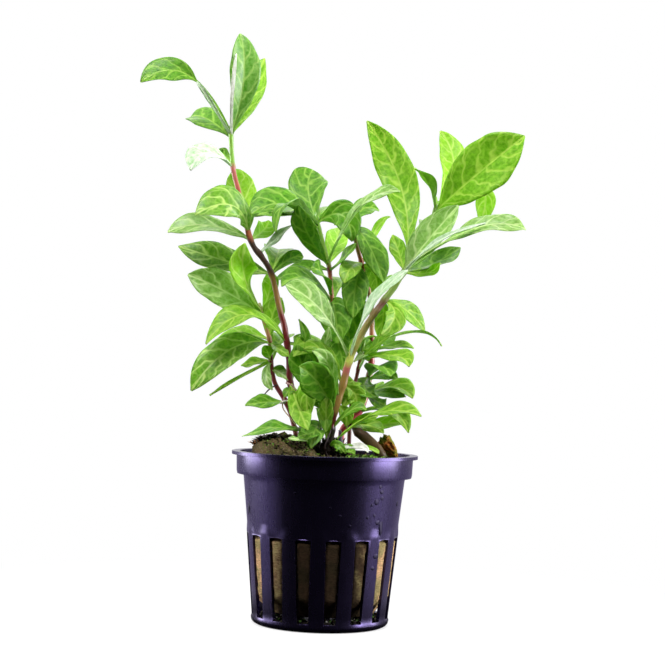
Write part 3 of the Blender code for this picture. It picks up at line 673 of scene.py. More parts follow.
ALONG_STEPS = 40
ACROSS_SHARES = (-1.0, -0.86, -0.66, -0.46, -0.28, -0.13, 0.0, 0.13, 0.28, 0.46, 0.66, 0.86, 1.0)
BLADE_THICKNESS = 0.2
EDGE_THICKNESS_SHARE = 0.35
KEEL_DEPTH = 0.5
KEEL_HALF_WIDTH = 0.45
QUILT_HEIGHT = 0.16
MARGIN_WAVE = 0.5
OUTLINE_WAVE = 0.022
# How far apart the blades lie on the map in millimetres, so that no two have the same pattern
MAP_STEP = 40


def midrib(leaf, t):
    """A curve from the stem over the crest, which it passes half way, to the tip."""
    root = stem_point(STEMS["stem_" + leaf.stem], leaf.height)
    crest, tip = Vector(leaf.crest), Vector(leaf.tip)
    pull = 2 * crest - (root + tip) / 2
    return root * (1 - t) ** 2 + pull * 2 * t * (1 - t) + tip * t**2


def blade_width(leaf, share):
    """The blade's width at a share of its length: a petiole, then an outline with one widest place."""
    widest = BASE_TAPER / (BASE_TAPER + TIP_TAPER)
    peak = widest**BASE_TAPER * (1 - widest) ** TIP_TAPER
    along = max(0.0, share - leaf.stalk) / (1 - leaf.stalk)
    outline = leaf.width * along**BASE_TAPER * (1 - along) ** TIP_TAPER / peak
    return max(outline, between(PETIOLE_WIDTH, TIP_WIDTH, share))


def blade_out(across, half, t, number):
    """How far from the midrib a point lies, on an outline that is a little uneven."""
    ragged = math.sin(t * 17 + number * 1.7 + across)
    ragged += 0.6 * math.sin(t * 31 + number * 2.9 - across * 2)
    return across * half * (1 + OUTLINE_WAVE * ragged * across**2)


def blade_rise(across, out, half, t, veins, number):
    """How far the blade stands above its midrib: folded, quilted by its veins and wavy."""
    body = min(1.0, half / 2)
    phase = t * veins + (VEIN_TURN if across > 0 else 0.0) - VEIN_LEAD * abs(across) ** VEIN_BEND
    quilt = QUILT_HEIGHT * body * (0.5 - abs(phase % 1.0 - 0.5)) * 2 * (1 - abs(across) ** 3)
    wave = MARGIN_WAVE * body * across**2 * math.sin(t * veins * 2.1 + number + across)
    return abs(out) * LEAF_FOLD + quilt * 0.6 + wave


def make_leaf(name, leaf, looks, number):
    """A closed blade: quilted between its side veins, keeled under its midrib, wavy at its edge."""
    face = Vector(leaf.face).normalized()
    points = [midrib(leaf, step / ALONG_STEPS) for step in range(ALONG_STEPS + 1)]
    travelled = [0.0]
    for before, after in zip(points, points[1:]):
        travelled.append(travelled[-1] + (after - before).length)
    veins = max(4, round(travelled[-1] / VEIN_SPACING))
    bm = bmesh.new()
    share_layer = bm.loops.layers.uv.new("blade")
    mm_layer = bm.loops.layers.uv.new("blade_mm")
    maps = {}
    top, bottom = [], []
    for step, point in enumerate(points):
        t = step / ALONG_STEPS
        ahead = (midrib(leaf, t + 0.01) - midrib(leaf, t - 0.01)).normalized()
        side = face.cross(ahead).normalized()
        upper = ahead.cross(side)
        half = blade_width(leaf, t) / 2
        droop = leaf.curl * max(0.0, (t - 0.5) * 2) ** 2
        top_row, bottom_row = [], []
        for across in ACROSS_SHARES:
            out = blade_out(across, half, t, number)
            keel = KEEL_DEPTH * math.exp(-((out / KEEL_HALF_WIDTH) ** 2)) * (1 - 0.75 * t)
            base = point + side * out + upper * (blade_rise(across, out, half, t, veins, number) - droop)
            edge = EDGE_THICKNESS_SHARE if abs(across) == 1.0 else 1.0
            skin = upper * BLADE_THICKNESS / 2 * edge
            above = bm.verts.new((base + skin) * MM)
            below = bm.verts.new((base - skin - upper * keel * edge) * MM)
            maps[above] = maps[below] = (t * veins, across), (travelled[step] + number * MAP_STEP, out)
            top_row.append(above)
            bottom_row.append(below)
        top.append(top_row)
        bottom.append(bottom_row)
    last = len(ACROSS_SHARES) - 1
    for a, b, c, d in zip(top, top[1:], bottom, bottom[1:]):
        for j in range(last):
            bm.faces.new((a[j], b[j], b[j + 1], a[j + 1]))
            bm.faces.new((c[j], c[j + 1], d[j + 1], d[j])).material_index = 1
        bm.faces.new((a[0], c[0], d[0], b[0]))
        bm.faces.new((a[last], b[last], d[last], c[last]))
    for j in range(last):
        bm.faces.new((top[0][j], top[0][j + 1], bottom[0][j + 1], bottom[0][j]))
        bm.faces.new((top[-1][j], bottom[-1][j], bottom[-1][j + 1], top[-1][j + 1]))
    bmesh.ops.recalc_face_normals(bm, faces=bm.faces)
    for bm_face in bm.faces:
        for loop in bm_face.loops:
            loop[share_layer].uv, loop[mm_layer].uv = maps[loop.vert]
    item = new_object(name, bm, *looks[leaf.look])
    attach(item, "root")
    return item


# ---------------------------------------------------------------- pot

SECTOR = math.tau / SLOT_COUNT
SLOT_EDGE_STEPS = 3
BAR_STEPS = 5
ARCH_HEIGHT = 2.2
EDGE_ROUNDING = 0.16
# The tint of what the pot and the water on it reflect
VIOLET_SHEEN = (0.50, 0.38, 1.0, 1.0)


def pot_rows():
    """(radius, height, kind) of the wall's middle line, from the flange's edge to the floor's centre."""
    half = WALL / 2
    rows = [
        (RIM_RADIUS - 0.1, POT_HEIGHT - half, "flange"),
        (RIM_RADIUS - 1.0, POT_HEIGHT - half, "flange"),
        (COLLAR_RADIUS - half, POT_HEIGHT - half, "collar"),
        (COLLAR_RADIUS - half, POT_HEIGHT - 1.6, "collar"),
        (COLLAR_RADIUS - half - 0.15, COLLAR_STEP_HEIGHT + half + 0.5, "collar"),
        (COLLAR_RADIUS - half - 0.25, COLLAR_STEP_HEIGHT + half, "collar"),
        (BODY_TOP_RADIUS - half + 0.35, COLLAR_STEP_HEIGHT + half, "body"),
        (BODY_TOP_RADIUS - half, COLLAR_STEP_HEIGHT - 0.2, "body"),
    ]
    steps = 8
    for step in range(1, steps + 1):
        share = step / steps
        height = between(COLLAR_STEP_HEIGHT, BAR_TOP_HEIGHT + ARCH_HEIGHT, share)
        rows.append((wall_radius(height) - half, height, "body"))
    height = BAR_TOP_HEIGHT + 1.8
    while height > SLOT_TOP_HEIGHT + 0.2:
        rows.append((wall_radius(height) - half, height, "arch"))
        height -= 0.35
    steps = 12
    for step in range(steps + 1):
        height = SLOT_TOP_HEIGHT + (SLOT_LOW_HEIGHT - SLOT_TOP_HEIGHT) * step / steps
        rows.append((wall_radius(height) - half, height, "slot"))
    rows.append((FOOT_EDGE_RADIUS - half, FOOT_ROUNDING + 0.1, "foot"))
    steps = 4
    for step in range(1, steps + 1):
        turn = math.pi / 2 * step / steps
        rows.append((FOOT_RADIUS - half + (FOOT_EDGE_RADIUS - FOOT_RADIUS) * math.cos(turn),
                     half + (FOOT_ROUNDING - half) * (1 - math.sin(turn)), "foot"))
    for radius in (16.6, DRAIN_OUTER_RADIUS, 12.0, 9.0, DRAIN_INNER_RADIUS, 3.5):
        rows.append((radius, half, "floor"))
    return rows


def wall_radius(height):
    """Outer radius of the body at a height, without the bars' relief."""
    if height >= BAR_TOP_HEIGHT:
        share = (height - BAR_TOP_HEIGHT) / (COLLAR_STEP_HEIGHT - BAR_TOP_HEIGHT)
        return between(BODY_LOW_RADIUS, BODY_TOP_RADIUS, share)
    share = (height - FOOT_ROUNDING) / (BAR_TOP_HEIGHT - FOOT_ROUNDING)
    return between(FOOT_EDGE_RADIUS - BAR_RELIEF, BODY_LOW_RADIUS, share)


def slot_half_angle(radius, height, kind):
    """Half the angle that a slot in the wall or a drain slot in the floor takes up."""
    if kind == "floor":
        return min(DRAIN_WIDTH / 2 / radius, SECTOR * 0.4)
    share = share_of(height, SLOT_LOW_HEIGHT, SLOT_TOP_HEIGHT)
    return between(SLOT_LOW_WIDTH, SLOT_TOP_WIDTH, share) / 2 / radius


def bar_relief(offset, half_angle, height, kind):
    """How far a bar stands out: its head is an arch above the slots' tops."""
    if kind in ("flange", "collar", "body", "floor"):
        return 0.0
    if kind == "foot":
        return BAR_RELIEF
    middle = (SECTOR / 2 - abs(offset)) / (SECTOR / 2 - half_angle)
    if abs(offset) < half_angle:
        return BAR_RELIEF if height <= SLOT_TOP_HEIGHT else 0.0
    head = SLOT_TOP_HEIGHT + 1.2 + ARCH_HEIGHT * math.sqrt(max(0.0, 1 - middle**2)) * 0.6
    return BAR_RELIEF * max(0.0, min(1.0, (head - height) / 2.6 + 0.5))


def pot_offsets(half_angle):
    """Where a row's points lie in one sector: across its slot, then across its bar."""
    slot = [-half_angle + 2 * half_angle * step / SLOT_EDGE_STEPS for step in range(SLOT_EDGE_STEPS)]
    bar = [half_angle + (SECTOR - 2 * half_angle) * step / BAR_STEPS for step in range(BAR_STEPS)]
    return slot + bar


def make_pot(material):
    """The wall's middle surface with its slots left open, given its thickness and round edges."""
    rows = pot_rows()
    bm = bmesh.new()
    grid = []
    for radius, height, kind in rows:
        half_angle = slot_half_angle(radius, height, kind)
        ring = []
        for sector in range(SLOT_COUNT):
            centre = math.radians(SLOT_TURN) + sector * SECTOR
            for offset in pot_offsets(half_angle):
                near = offset if offset <= SECTOR / 2 else offset - SECTOR
                out = radius + bar_relief(near, half_angle, height, kind)
                angle = centre + offset
                ring.append(bm.verts.new(
                    Vector((out * math.sin(angle), -out * math.cos(angle), height)) * MM))
        grid.append(ring)
    columns = len(grid[0])
    per_sector = SLOT_EDGE_STEPS + BAR_STEPS
    for low, high, first, second in zip(grid, grid[1:], rows, rows[1:]):
        slotted = first[2] == second[2] == "slot"
        drained = (first[2] == second[2] == "floor"
                   and DRAIN_INNER_RADIUS <= second[0] and first[0] <= DRAIN_OUTER_RADIUS)
        for column in range(columns):
            in_slot = column % per_sector < SLOT_EDGE_STEPS
            even = column // per_sector % 2 == 0
            if in_slot and (slotted or (drained and even)):
                continue
            after = (column + 1) % columns
            bm.faces.new((low[column], high[column], high[after], low[after]))
    hub = bm.verts.new((0, 0, WALL / 2 * MM))
    for column in range(columns):
        bm.faces.new((grid[-1][column], hub, grid[-1][(column + 1) % columns]))
    bmesh.ops.recalc_face_normals(bm, faces=bm.faces)
    pot = new_object("pot_shell", bm, material)
    thick = pot.modifiers.new("wall", "SOLIDIFY")
    thick.thickness = WALL * MM
    thick.offset = 0.0
    thick.use_even_offset = True
    round_edges = pot.modifiers.new("edges", "BEVEL")
    round_edges.width = EDGE_ROUNDING * MM
    round_edges.segments = 2
    round_edges.limit_method = "ANGLE"
    round_edges.angle_limit = math.radians(40)
    round_edges.harden_normals = True
    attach(pot, "root")
    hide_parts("pot")


def pot_material():
    """Black-violet moulded plastic: a fine grain, faint flow marks and water marks."""
    material, nodes, shader = new_material("moulded_plastic")
    place = nodes.object_mm()
    flow = nodes.noise(nodes.stretch(place, (0.5, 0.5, 0.12)), 1.0, 4)
    marks = nodes.noise(place, 0.35, 5, 0.7)
    rough = nodes.remap(flow, 0.3, 0.7, 0.26, 0.28)
    rough = nodes.math("ADD", rough, nodes.remap(marks, 0.5, 0.7, 0.0, 0.02))
    nodes.fill(shader, Base_Color=nodes.mix(flow, (0, 0, 0), (2, 1, 4)), Roughness=rough,
               IOR=1.7, Specular_IOR_Level=0.75, Specular_Tint=VIOLET_SHEEN)
    bump(nodes, shader, nodes.noise(place, 5.0, 3), 0.02, 0.3)
    return material


# Water drops and wet smears on the pot: turn from the front in degrees, height, radius, length
Drop = namedtuple("Drop", "turn height radius length")
DROPS = (
    Drop(43, 41.7, 0.30, 0.35), Drop(45, 40.2, 0.40, 0.40), Drop(41, 37.5, 0.50, 0.60),
    Drop(46, 38.3, 0.35, 0.35), Drop(40, 33.5, 0.30, 0.30), Drop(44, 31.5, 0.45, 0.45),
    Drop(48, 31.0, 0.40, 2.00), Drop(45, 21.9, 0.50, 0.50), Drop(43, 18.4, 0.40, 0.35),
    Drop(37, 36.5, 0.25, 0.30), Drop(34, 33.0, 0.25, 0.30), Drop(44, 28.7, 0.35, 0.35),
    Drop(68, 36.5, 0.30, 0.50), Drop(-71, 34.5, 0.35, 1.60), Drop(20, 30.6, 0.25, 0.25),
    Drop(12, 33.4, 0.25, 0.25), Drop(5, 35.6, 0.20, 0.20), Drop(-20, 39.4, 0.20, 0.20),
)
DROP_DEPTH = 0.05
DROP_SPREAD = 1.7


def make_drops():
    """Flat uneven blisters of water on the pot's outside."""
    material, nodes, shader = mottled_material(
        "water_on_plastic", (2, 2, 4), (14, 11, 22), 2.0, None, (0.30, 0.45))
    nodes.fill(shader, IOR=1.33, Specular_IOR_Level=0.5, Specular_Tint=VIOLET_SHEEN)
    bm = bmesh.new()
    for drop in DROPS:
        turn = math.radians(drop.turn)
        outward = Vector((math.sin(turn), -math.cos(turn), 0))
        sideways = Vector((math.cos(turn), math.sin(turn), 0))
        centre = outward * wall_radius(drop.height) + Vector((0, 0, drop.height))
        if drop.height < BAR_TOP_HEIGHT:
            centre += outward * BAR_RELIEF
        for vert in bmesh.ops.create_icosphere(bm, subdivisions=3, radius=1.0)["verts"]:
            swell = DROP_SPREAD * (1 + 0.3 * noise.noise(vert.co * 1.3 + centre))
            x, y, z = vert.co * swell
            vert.co = (centre + sideways * x * drop.radius + outward * y * DROP_DEPTH
                       + Vector((0, 0, z * drop.length))) * MM
    drops = new_object("water_drops", bm, material)
    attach(drops, "root")


# ---------------------------------------------------------------- rockwool

WOOL_COLUMNS = 320
WOOL_SIDE_ROWS = 70
WOOL_TOP_ROWS = 46
WOOL_BULGE = 2.1
WOOL_WALL_GAP = 0.2
FLAKE_SWELL = 0.28
FLAKE_FRAY = 3.2
DAMP_WOOL = (44, 36, 22)
# The colour of the painted shade on the wool through the middle slots
PAINTED_SHADE_WOOL = (20, 11, 5)
PALE_CRUMB = (118, 106, 84)
# How strongly that painted shade darkens the wool
PAINTED_SHADE_SHARE = 0.94


def wool_top(x, y):
    """Height of the wool's top, which has a mound on its left."""
    far_x = (x - WOOL_MOUND_CENTRE[0]) / WOOL_MOUND_HALF_SIZE[0]
    far_y = (y - WOOL_MOUND_CENTRE[1]) / WOOL_MOUND_HALF_SIZE[1]
    return WOOL_SIDE[0][1] + WOOL_MOUND_HEIGHT * math.exp(-(far_x**4) - far_y**4)


def wool_side_radius(height):
    """The plug's radius at a height, between the corners of its outline."""
    for (wide, high), (narrow, low) in zip(WOOL_SIDE, WOOL_SIDE[1:]):
        if height >= low:
            return between(narrow, wide, share_of(height, low, high))
    return WOOL_SIDE[-1][0]


def rough_by(point, size, depth):
    """A push of up to depth millimetres that varies over size millimetres."""
    return depth * noise.fractal(point / size, 0.7, 2.1, 4)


def slot_share(turn, height):
    """1 in the middle of a slot, falling to 0 at its edges: the wool is pressed into the slots."""
    low, high = WOOL_SIDE[-1][1] + 2.0, SLOT_TOP_HEIGHT - 0.1
    lengthways = min(1.0, max(0.0, (height - low) / 3.0), max(0.0, (high - height) / 0.8))
    from_front = turn + math.pi / 2 - math.radians(SLOT_TURN)
    offset = (from_front + SECTOR / 2) % SECTOR - SECTOR / 2
    half_angle = slot_half_angle(wool_side_radius(height), height, "slot") * 0.94
    return lengthways * max(0.0, 1 - (offset / half_angle) ** 8)


def wool_side_point(turn, height):
    """A point on the plug's rough side, kept inside the pot's wall."""
    radius = wool_side_radius(height)
    point = around(radius, turn, height)
    radius += WOOL_BULGE * slot_share(turn, height)
    radius -= abs(rough_by(point, 5.0, 0.4)) + abs(rough_by(point, 1.3, 0.25))
    return around(min(radius, wall_radius(max(height, FOOT_ROUNDING)) - WOOL_WALL_GAP), turn, height)


def make_rockwool(material):
    """The plug: a rough top with its mound, and sides that bulge into the slots."""
    turns = [math.tau * column / WOOL_COLUMNS for column in range(WOOL_COLUMNS)]
    top_height, low_height = WOOL_SIDE[0][1], WOOL_SIDE[-1][1]
    bm = bmesh.new()
    rings = []
    for row in range(1, WOOL_TOP_ROWS + 1):
        share = row / WOOL_TOP_ROWS
        radius = WOOL_SIDE[0][0] * share
        ring = []
        for turn in turns:
            x, y = radius * math.cos(turn), radius * math.sin(turn)
            point = Vector((x, y, wool_top(x, y)))
            point.z += rough_by(point, 2.2, 1.5) * (1 - share**6)
            ring.append(bm.verts.new(point * MM))
        rings.append(ring)
    for row in range(1, WOOL_SIDE_ROWS + 1):
        height = top_height + (low_height - top_height) * row / WOOL_SIDE_ROWS
        rings.append([bm.verts.new(wool_side_point(turn, height) * MM) for turn in turns])
    join_rings(bm, rings)
    centre = bm.verts.new(Vector((0, 0, wool_top(0, 0))) * MM)
    for here in range(WOOL_COLUMNS):
        bm.faces.new((centre, rings[0][here], rings[0][(here + 1) % WOOL_COLUMNS]))
    bm.faces.new(rings[-1])
    bmesh.ops.recalc_face_normals(bm, faces=bm.faces)
    plug = new_object("rockwool_fibres", bm, material)
    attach(plug, "root")
    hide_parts("rockwool")


def make_flake(material):
    """A leaning lump of wool on the plug's right edge, frayed to the left."""
    bm = bmesh.new()
    bmesh.ops.create_icosphere(bm, subdivisions=5, radius=1.0)
    lean = math.tan(math.radians(FLAKE_LEAN))
    for vert in bm.verts:
        swell = 1 + FLAKE_SWELL * noise.fractal(vert.co * 1.7, 0.7, 2.1, 4)
        x, y, z = (share * half * swell for share, half in zip(vert.co, FLAKE_HALF_SIZE))
        fray = FLAKE_FRAY * max(0.0, -vert.co.x) * (0.6 - 0.4 * vert.co.z)
        vert.co = (Vector(FLAKE_CENTRE) + Vector((x - z * lean - fray, y, z))) * MM
    flake = new_object("wool_flake_fibres", bm, material)
    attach(flake, "root")
    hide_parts("wool_flake")


def wool_material(name, dry_colours, moss_height, moss):
    """Matted mineral fibre: streaky browns, with moss above moss_height and painted shade on the middle
    of its sides.
    """
    material, nodes, shader = new_material(name)
    place = nodes.object_mm()
    x, _, height = nodes.split(place)
    cloud = nodes.noise(place, 0.22, 4, 0.6)
    fibre = nodes.noise(nodes.stretch(place, (0.9, 0.9, 3.4)), 1.0, 8, 0.72)
    speck = nodes.noise(place, 1.6, 6, 0.7)
    dark, tan, olive = dry_colours
    tint = nodes.mix(nodes.remap(cloud, 0.38, 0.62), tan, olive)
    tint = nodes.mix(nodes.remap(fibre, 0.32, 0.62, 0.85, 0.0), tint, dark)
    above = nodes.remap(height, moss_height, moss_height + 1.0)
    tint = nodes.mix(nodes.math("MULTIPLY", above, 0.85), tint, DAMP_WOOL)
    patch = nodes.math("MULTIPLY", above, nodes.remap(speck, 0.52, 0.62), clamp=True)
    tint = nodes.mix(patch, tint, moss)
    crumb = nodes.math("MULTIPLY", above, nodes.remap(nodes.noise(place, 0.9, 5, 0.7), 0.54, 0.62))
    tint = nodes.mix(nodes.math("MULTIPLY", crumb, 0.75), tint, PALE_CRUMB)
    # Through the middle slots the wool is painted dark, a painted shade where the side lamps don't reach;
    # it keeps its pale colours at the sides.
    uneven = nodes.math("MULTIPLY", nodes.math("SUBTRACT", cloud, 0.5), 14.0)
    from_middle = nodes.math("ADD", nodes.math("ABSOLUTE", x), uneven)
    painted_shade = nodes.remap(from_middle, 10.0, 16.0, PAINTED_SHADE_SHARE, 0.0)
    painted_shade = nodes.math("MULTIPLY", painted_shade, nodes.remap(height, 46.0, 48.0, 1.0, 0.0))
    nodes.fill(shader, Base_Color=nodes.mix(painted_shade, tint, PAINTED_SHADE_WOOL), Roughness=0.95, Specular_IOR_Level=0.1)
    bump(nodes, shader, nodes.math("ADD", fibre, speck), 0.5, 1.0)
    return material


# Crumbs that have washed down onto the pot's floor: count, half size in mm, colour
Crumbs = namedtuple("Crumbs", "count size colour")
LITTER = {
    "soil": Crumbs(900, (0.35, 0.9), (38, 31, 18)),
    "fibre": Crumbs(90, (0.25, 0.6), (96, 74, 50)),
    "moss": Crumbs(80, (0.3, 0.6), (74, 116, 26)),
    # Pale grit like perlite, which also paints the specks of light that come in through the drain slots
    "grit_and_painted_light": Crumbs(26, (0.3, 0.65), (226, 224, 216)),
}
# Between which radii and which heights the soil lies
LITTER_RING = (12.0, 17.6)
LITTER_DEPTH = (1.1, 2.6)


def make_litter():
    """Soil in a ring on the pot's floor, with the other crumbs on top of it."""
    chance = random.Random(SEED + 1)
    bm = bmesh.new()
    for number, crumbs in enumerate(LITTER.values()):
        for _ in range(crumbs.count):
            turn = chance.uniform(0, math.tau)
            radius = chance.uniform(*LITTER_RING)
            half = chance.uniform(*crumbs.size)
            centre = around(radius, turn, chance.uniform(*LITTER_DEPTH))
            if number:
                centre.z = LITTER_DEPTH[1] + half * 0.4
            old_faces = len(bm.faces)
            squash = Vector((1, chance.uniform(0.6, 1), chance.uniform(0.5, 0.9)))
            for vert in bmesh.ops.create_icosphere(bm, subdivisions=1, radius=1.0)["verts"]:
                grow = half * chance.uniform(0.7, 1.15)
                vert.co = (centre + Vector([a * b * grow for a, b in zip(vert.co, squash)])) * MM
            bm.faces.ensure_lookup_table()
            for face in bm.faces[old_faces:]:
                face.material_index = number
    materials = [
        mottled_material("litter_" + name, shadow_of(rgb), rgb, 1.8, None, (0.75, 0.95))[0]
        for name, (_, _, rgb) in LITTER.items()]
    litter = new_object("litter_crumbs", bm, *materials)
    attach(litter, "root")


# ---------------------------------------------------------------- moss and roots

# Patches of small blades on the wool: centre and half size in x and y, how many, the blades'
# lengths in mm, how far they lean, and their tone
Patch = namedtuple("Patch", "centre half_size count length spread tone")
MOSS_PATCHES = (
    Patch((-11, -4), (11, 12), 1500, (0.5, 1.3), 1.6, "brown"),
    Patch((-11, -4), (11, 12), 500, (0.5, 1.2), 1.6, "olive"),
    Patch((-10, -8), (9, 6), 170, (0.6, 1.5), 1.4, "green"),
    # These dark tufts fill the hollow under the arching leaf: painted shade
    Patch((-17.5, -4), (3.5, 5), 420, (1.0, 2.4), 1.2, "dark"),
    Patch((-20, -5), (1.5, 4), 110, (0.8, 2.2), 1.2, "orange"),
    Patch((2, -4.5), (3.6, 3.4), 360, (2.5, 6.5), 0.5, "dark"),
    Patch((2, -4.5), (2.2, 2.0), 110, (6.0, 10.0), 0.25, "dark"),
    Patch((10, -7), (9, 10), 700, (1.0, 2.8), 1.2, "brown"),
    Patch((12, -8), (7, 7), 260, (1.5, 3.4), 1.0, "green"),
    Patch((16, -4), (3, 4), 120, (1.0, 2.6), 1.0, "olive"),
    Patch((0, 10), (19, 10), 900, (0.5, 1.4), 1.6, "brown"),
    Patch((5, 11), (14, 9), 320, (0.8, 2.2), 1.2, "olive"),
    Patch((-6, 10), (12, 9), 200, (0.8, 2.0), 1.2, "green"),
)
MOSS_TONES = {
    "brown": ((36, 26, 14), (74, 60, 32)),
    "olive": ((58, 60, 22), (100, 98, 46)),
    "green": ((70, 120, 22), (132, 176, 56)),
    "dark": ((18, 12, 8), (52, 36, 20)),
    "orange": ((150, 84, 26), (206, 142, 60)),
}
BLADE_STEPS = 4
MOSS_RIM_GAP = 0.6
MOSS_ROOT_DEPTH = 0.4


def make_moss():
    """Small bent blades that stand on the wool's top."""
    chance = random.Random(SEED)
    bm = bmesh.new()
    tones = list(MOSS_TONES)
    for patch in MOSS_PATCHES:
        for _ in range(patch.count):
            x = patch.centre[0] + chance.uniform(-1, 1) * patch.half_size[0]
            y = patch.centre[1] + chance.uniform(-1, 1) * patch.half_size[1]
            lean = Vector((chance.gauss(0, 1), chance.gauss(0, 1), 0)) * 0.5 * patch.spread
            turn = chance.uniform(0, math.tau)
            length = chance.uniform(*patch.length)
            if math.hypot(x, y) > WOOL_SIDE[0][0] - MOSS_RIM_GAP:
                continue
            ahead = (lean + Vector((0, 0, 1))).normalized()
            side = Vector((math.cos(turn), math.sin(turn), 0))
            droop = Vector((lean.x, lean.y, -0.6)) * 0.5
            root = Vector((x, y, wool_top(x, y) - MOSS_ROOT_DEPTH))
            width = min(0.45, 0.12 + length * 0.16)
            rows = []
            for step in range(BLADE_STEPS + 1):
                t = step / BLADE_STEPS
                centre = root + ahead * length * t + droop * length * t * t
                half = side * width * (0.25 + math.sin(math.pi * min(1.0, t * 0.95 + 0.05)))
                keel = Vector((0, 0, -0.12 * width))
                rows.append([bm.verts.new((centre + offset) * MM) for offset in (-half, keel, half)])
            for low, high in zip(rows, rows[1:]):
                for j in range(2):
                    face = bm.faces.new((low[j], low[j + 1], high[j + 1], high[j]))
                    face.material_index = tones.index(patch.tone)
    materials = [
        mottled_material("moss_" + name, dark, light, 1.4, (0.35, 0.65), (0.6, 0.85))[0]
        for name, (dark, light) in MOSS_TONES.items()]
    moss = new_object("moss_tufts", bm, *materials)
    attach(moss, "root")


# Roots that run over the wool and down its side: route, radius and tone
Root = namedtuple("Root", "route radius tone")
ROOTS = (
    Root([(-12.5, -2.5, 66), (-12.8, -3.5, 63), (-10.5, -4.5, 60), (-8, -5, 57)], 0.22, "tan"),
    Root([(-13.5, -3.5, 64.3), (-11.5, -5, 65), (-9, -4.5, 65.2)], 0.32, "white"),
    Root([(-12, -3, 70.2), (-10.5, -4.5, 69.6), (-9, -5, 68)], 0.28, "pink"),
    Root([(-15, 0.5, 69.5), (-17, -1, 68.2), (-18.5, -1.5, 66.5)], 0.25, "dark"),
    Root([(5.5, -6, 49), (4.6, -6.6, 53), (4.2, -6.6, 57)], 0.75, "violet"),
    Root([(1, -9, 49), (0, -9.5, 52), (1.5, -8.5, 57)], 0.3, "dark"),
    Root([(-4, -8, 50), (-2.5, -8.5, 53), (-1.5, -7, 57.5)], 0.3, "dark"),
)
ROOT_TONES = {
    "tan": (196, 160, 120), "white": (236, 226, 214), "pink": (196, 140, 140),
    "dark": (48, 26, 30), "violet": (84, 70, 92),
}


def root_material(name, rgb):
    """Root skin with lengthways streaks."""
    material, nodes, shader = new_material(name)
    streak = nodes.noise(nodes.stretch(nodes.object_mm(), (2.6, 2.6, 0.6)), 1.0, 4)
    nodes.fill(shader, Base_Color=nodes.mix(nodes.remap(streak, 0.35, 0.65), shadow_of(rgb), rgb),
               Roughness=nodes.remap(streak, 0.2, 0.8, 0.4, 0.65))
    bump(nodes, shader, streak, 0.08, 0.6)
    return material


def make_roots():
    """Thin uneven roots, each a tube that narrows towards its end."""
    materials = {name: root_material("root_" + name, rgb) for name, rgb in ROOT_TONES.items()}
    for number, root in enumerate(ROOTS):
        centres = smooth_route(root.route, 8)
        radii = [root.radius * (1 - 0.45 * step / len(centres)) for step in range(len(centres))]
        bm = bmesh.new()
        tube_into(bm, centres, radii, sides=10, ripple=0.35, seed=number * 3.7)
        item = new_object("root_%d" % (number + 1), bm, materials[root.tone])
        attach(item, "root")


# ---------------------------------------------------------------- camera, light and stage

CAMERA_PLACE = (1.55, -450.0, 70.0)
CAMERA_PITCH = 1.98
CAMERA_ROLL = -1.9
# The lens's focal length as a share of the sensor's width
FOCAL_SHARE = 1522 / 665
SENSOR = 36.0
Lamp = namedtuple("Lamp", "name place size power target", defaults=((0, 0, 90),))
LAMPS = (
    Lamp("left_softbox", (-475, 120, 120), (300, 420), 3.6, (0, 0, 60)),
    Lamp("right_softbox", (498, -44, 120), (345, 420), 5.7, (0, 0, 60)),
    Lamp("high_key", (-60, -270, 500), (300, 240), 3.5),
    Lamp("back_top", (60, 300, 400), (360, 220), 1.0),
)
# The sky's light in front and behind, between two shares of the way back, and overhead
WORLD_FRONT = 0.004
WORLD_BACK = 1.0
WORLD_TURN = (-0.55, 0.6)
WORLD_TOP = 0.35
WORLD_RISE = (0.35, 0.9)
# The floor, in metres from the pot's axis: its edge, where the painted black shade under the pot
# ends, and where the pot's own shadow ends; and how white the floor is where that shadow begins
FLOOR_RADIUS = 6.0
PAINTED_SHADE_EDGE = (0.014, 0.0185)
SHADE_EDGE = (0.03, 0.16)
SHADE_WHITE = 0.62
# A painted reflection: beside the pot the floor glows for reflections only, though it is no lamp; how
# strong that glow is, and its violet colour
PAINTED_REFLECTION_STRENGTH = 0.46
PAINTED_REFLECTION_COLOUR = (0.72, 0.62, 1.0, 1)
WHITE = (1, 1, 1, 1)


def make_camera():
    """The photo's own view: 45 cm in front of the pot and a little above its rim."""
    data = bpy.data.cameras.new("camera")
    data.sensor_width = SENSOR
    data.lens = FOCAL_SHARE * SENSOR
    data.clip_start = 0.01
    camera = bpy.data.objects.new("camera", data)
    camera.location = Vector(CAMERA_PLACE) * MM
    camera.rotation_euler = (math.radians(90 + CAMERA_PITCH), math.radians(CAMERA_ROLL), 0)
    bpy.context.scene.collection.objects.link(camera)
    bpy.context.scene.camera = camera


def make_lamp(lamp):
    """A soft box that faces its target."""
    data = bpy.data.lights.new(lamp.name, "AREA")
    data.shape = "RECTANGLE"
    data.size, data.size_y = lamp.size[0] * MM, lamp.size[1] * MM
    data.energy = lamp.power
    item = bpy.data.objects.new(lamp.name, data)
    item.location = Vector(lamp.place) * MM
    item.rotation_euler = (Vector(lamp.target) - Vector(lamp.place)).to_track_quat("-Z", "Y").to_euler()
    bpy.context.scene.collection.objects.link(item)


def make_world():
    """White to the camera; for light, bright behind and overhead and dark in front."""
    world = bpy.data.worlds.new("studio")
    world.use_nodes = True
    bpy.context.scene.world = world
    nodes = Nodes(world.node_tree)
    direction = nodes.split(nodes.add("ShaderNodeTexCoord").outputs["Generated"])
    back = nodes.remap(direction[1], *WORLD_TURN, WORLD_FRONT, WORLD_BACK)
    over = nodes.remap(direction[2], *WORLD_RISE, 0.0, WORLD_TOP)
    seen = nodes.add("ShaderNodeLightPath").outputs["Is Camera Ray"]
    strength = nodes.mix_float(seen, nodes.math("MAXIMUM", back, over), 1.0)
    nodes.fill(world.node_tree.nodes["Background"], Color=WHITE, Strength=strength)


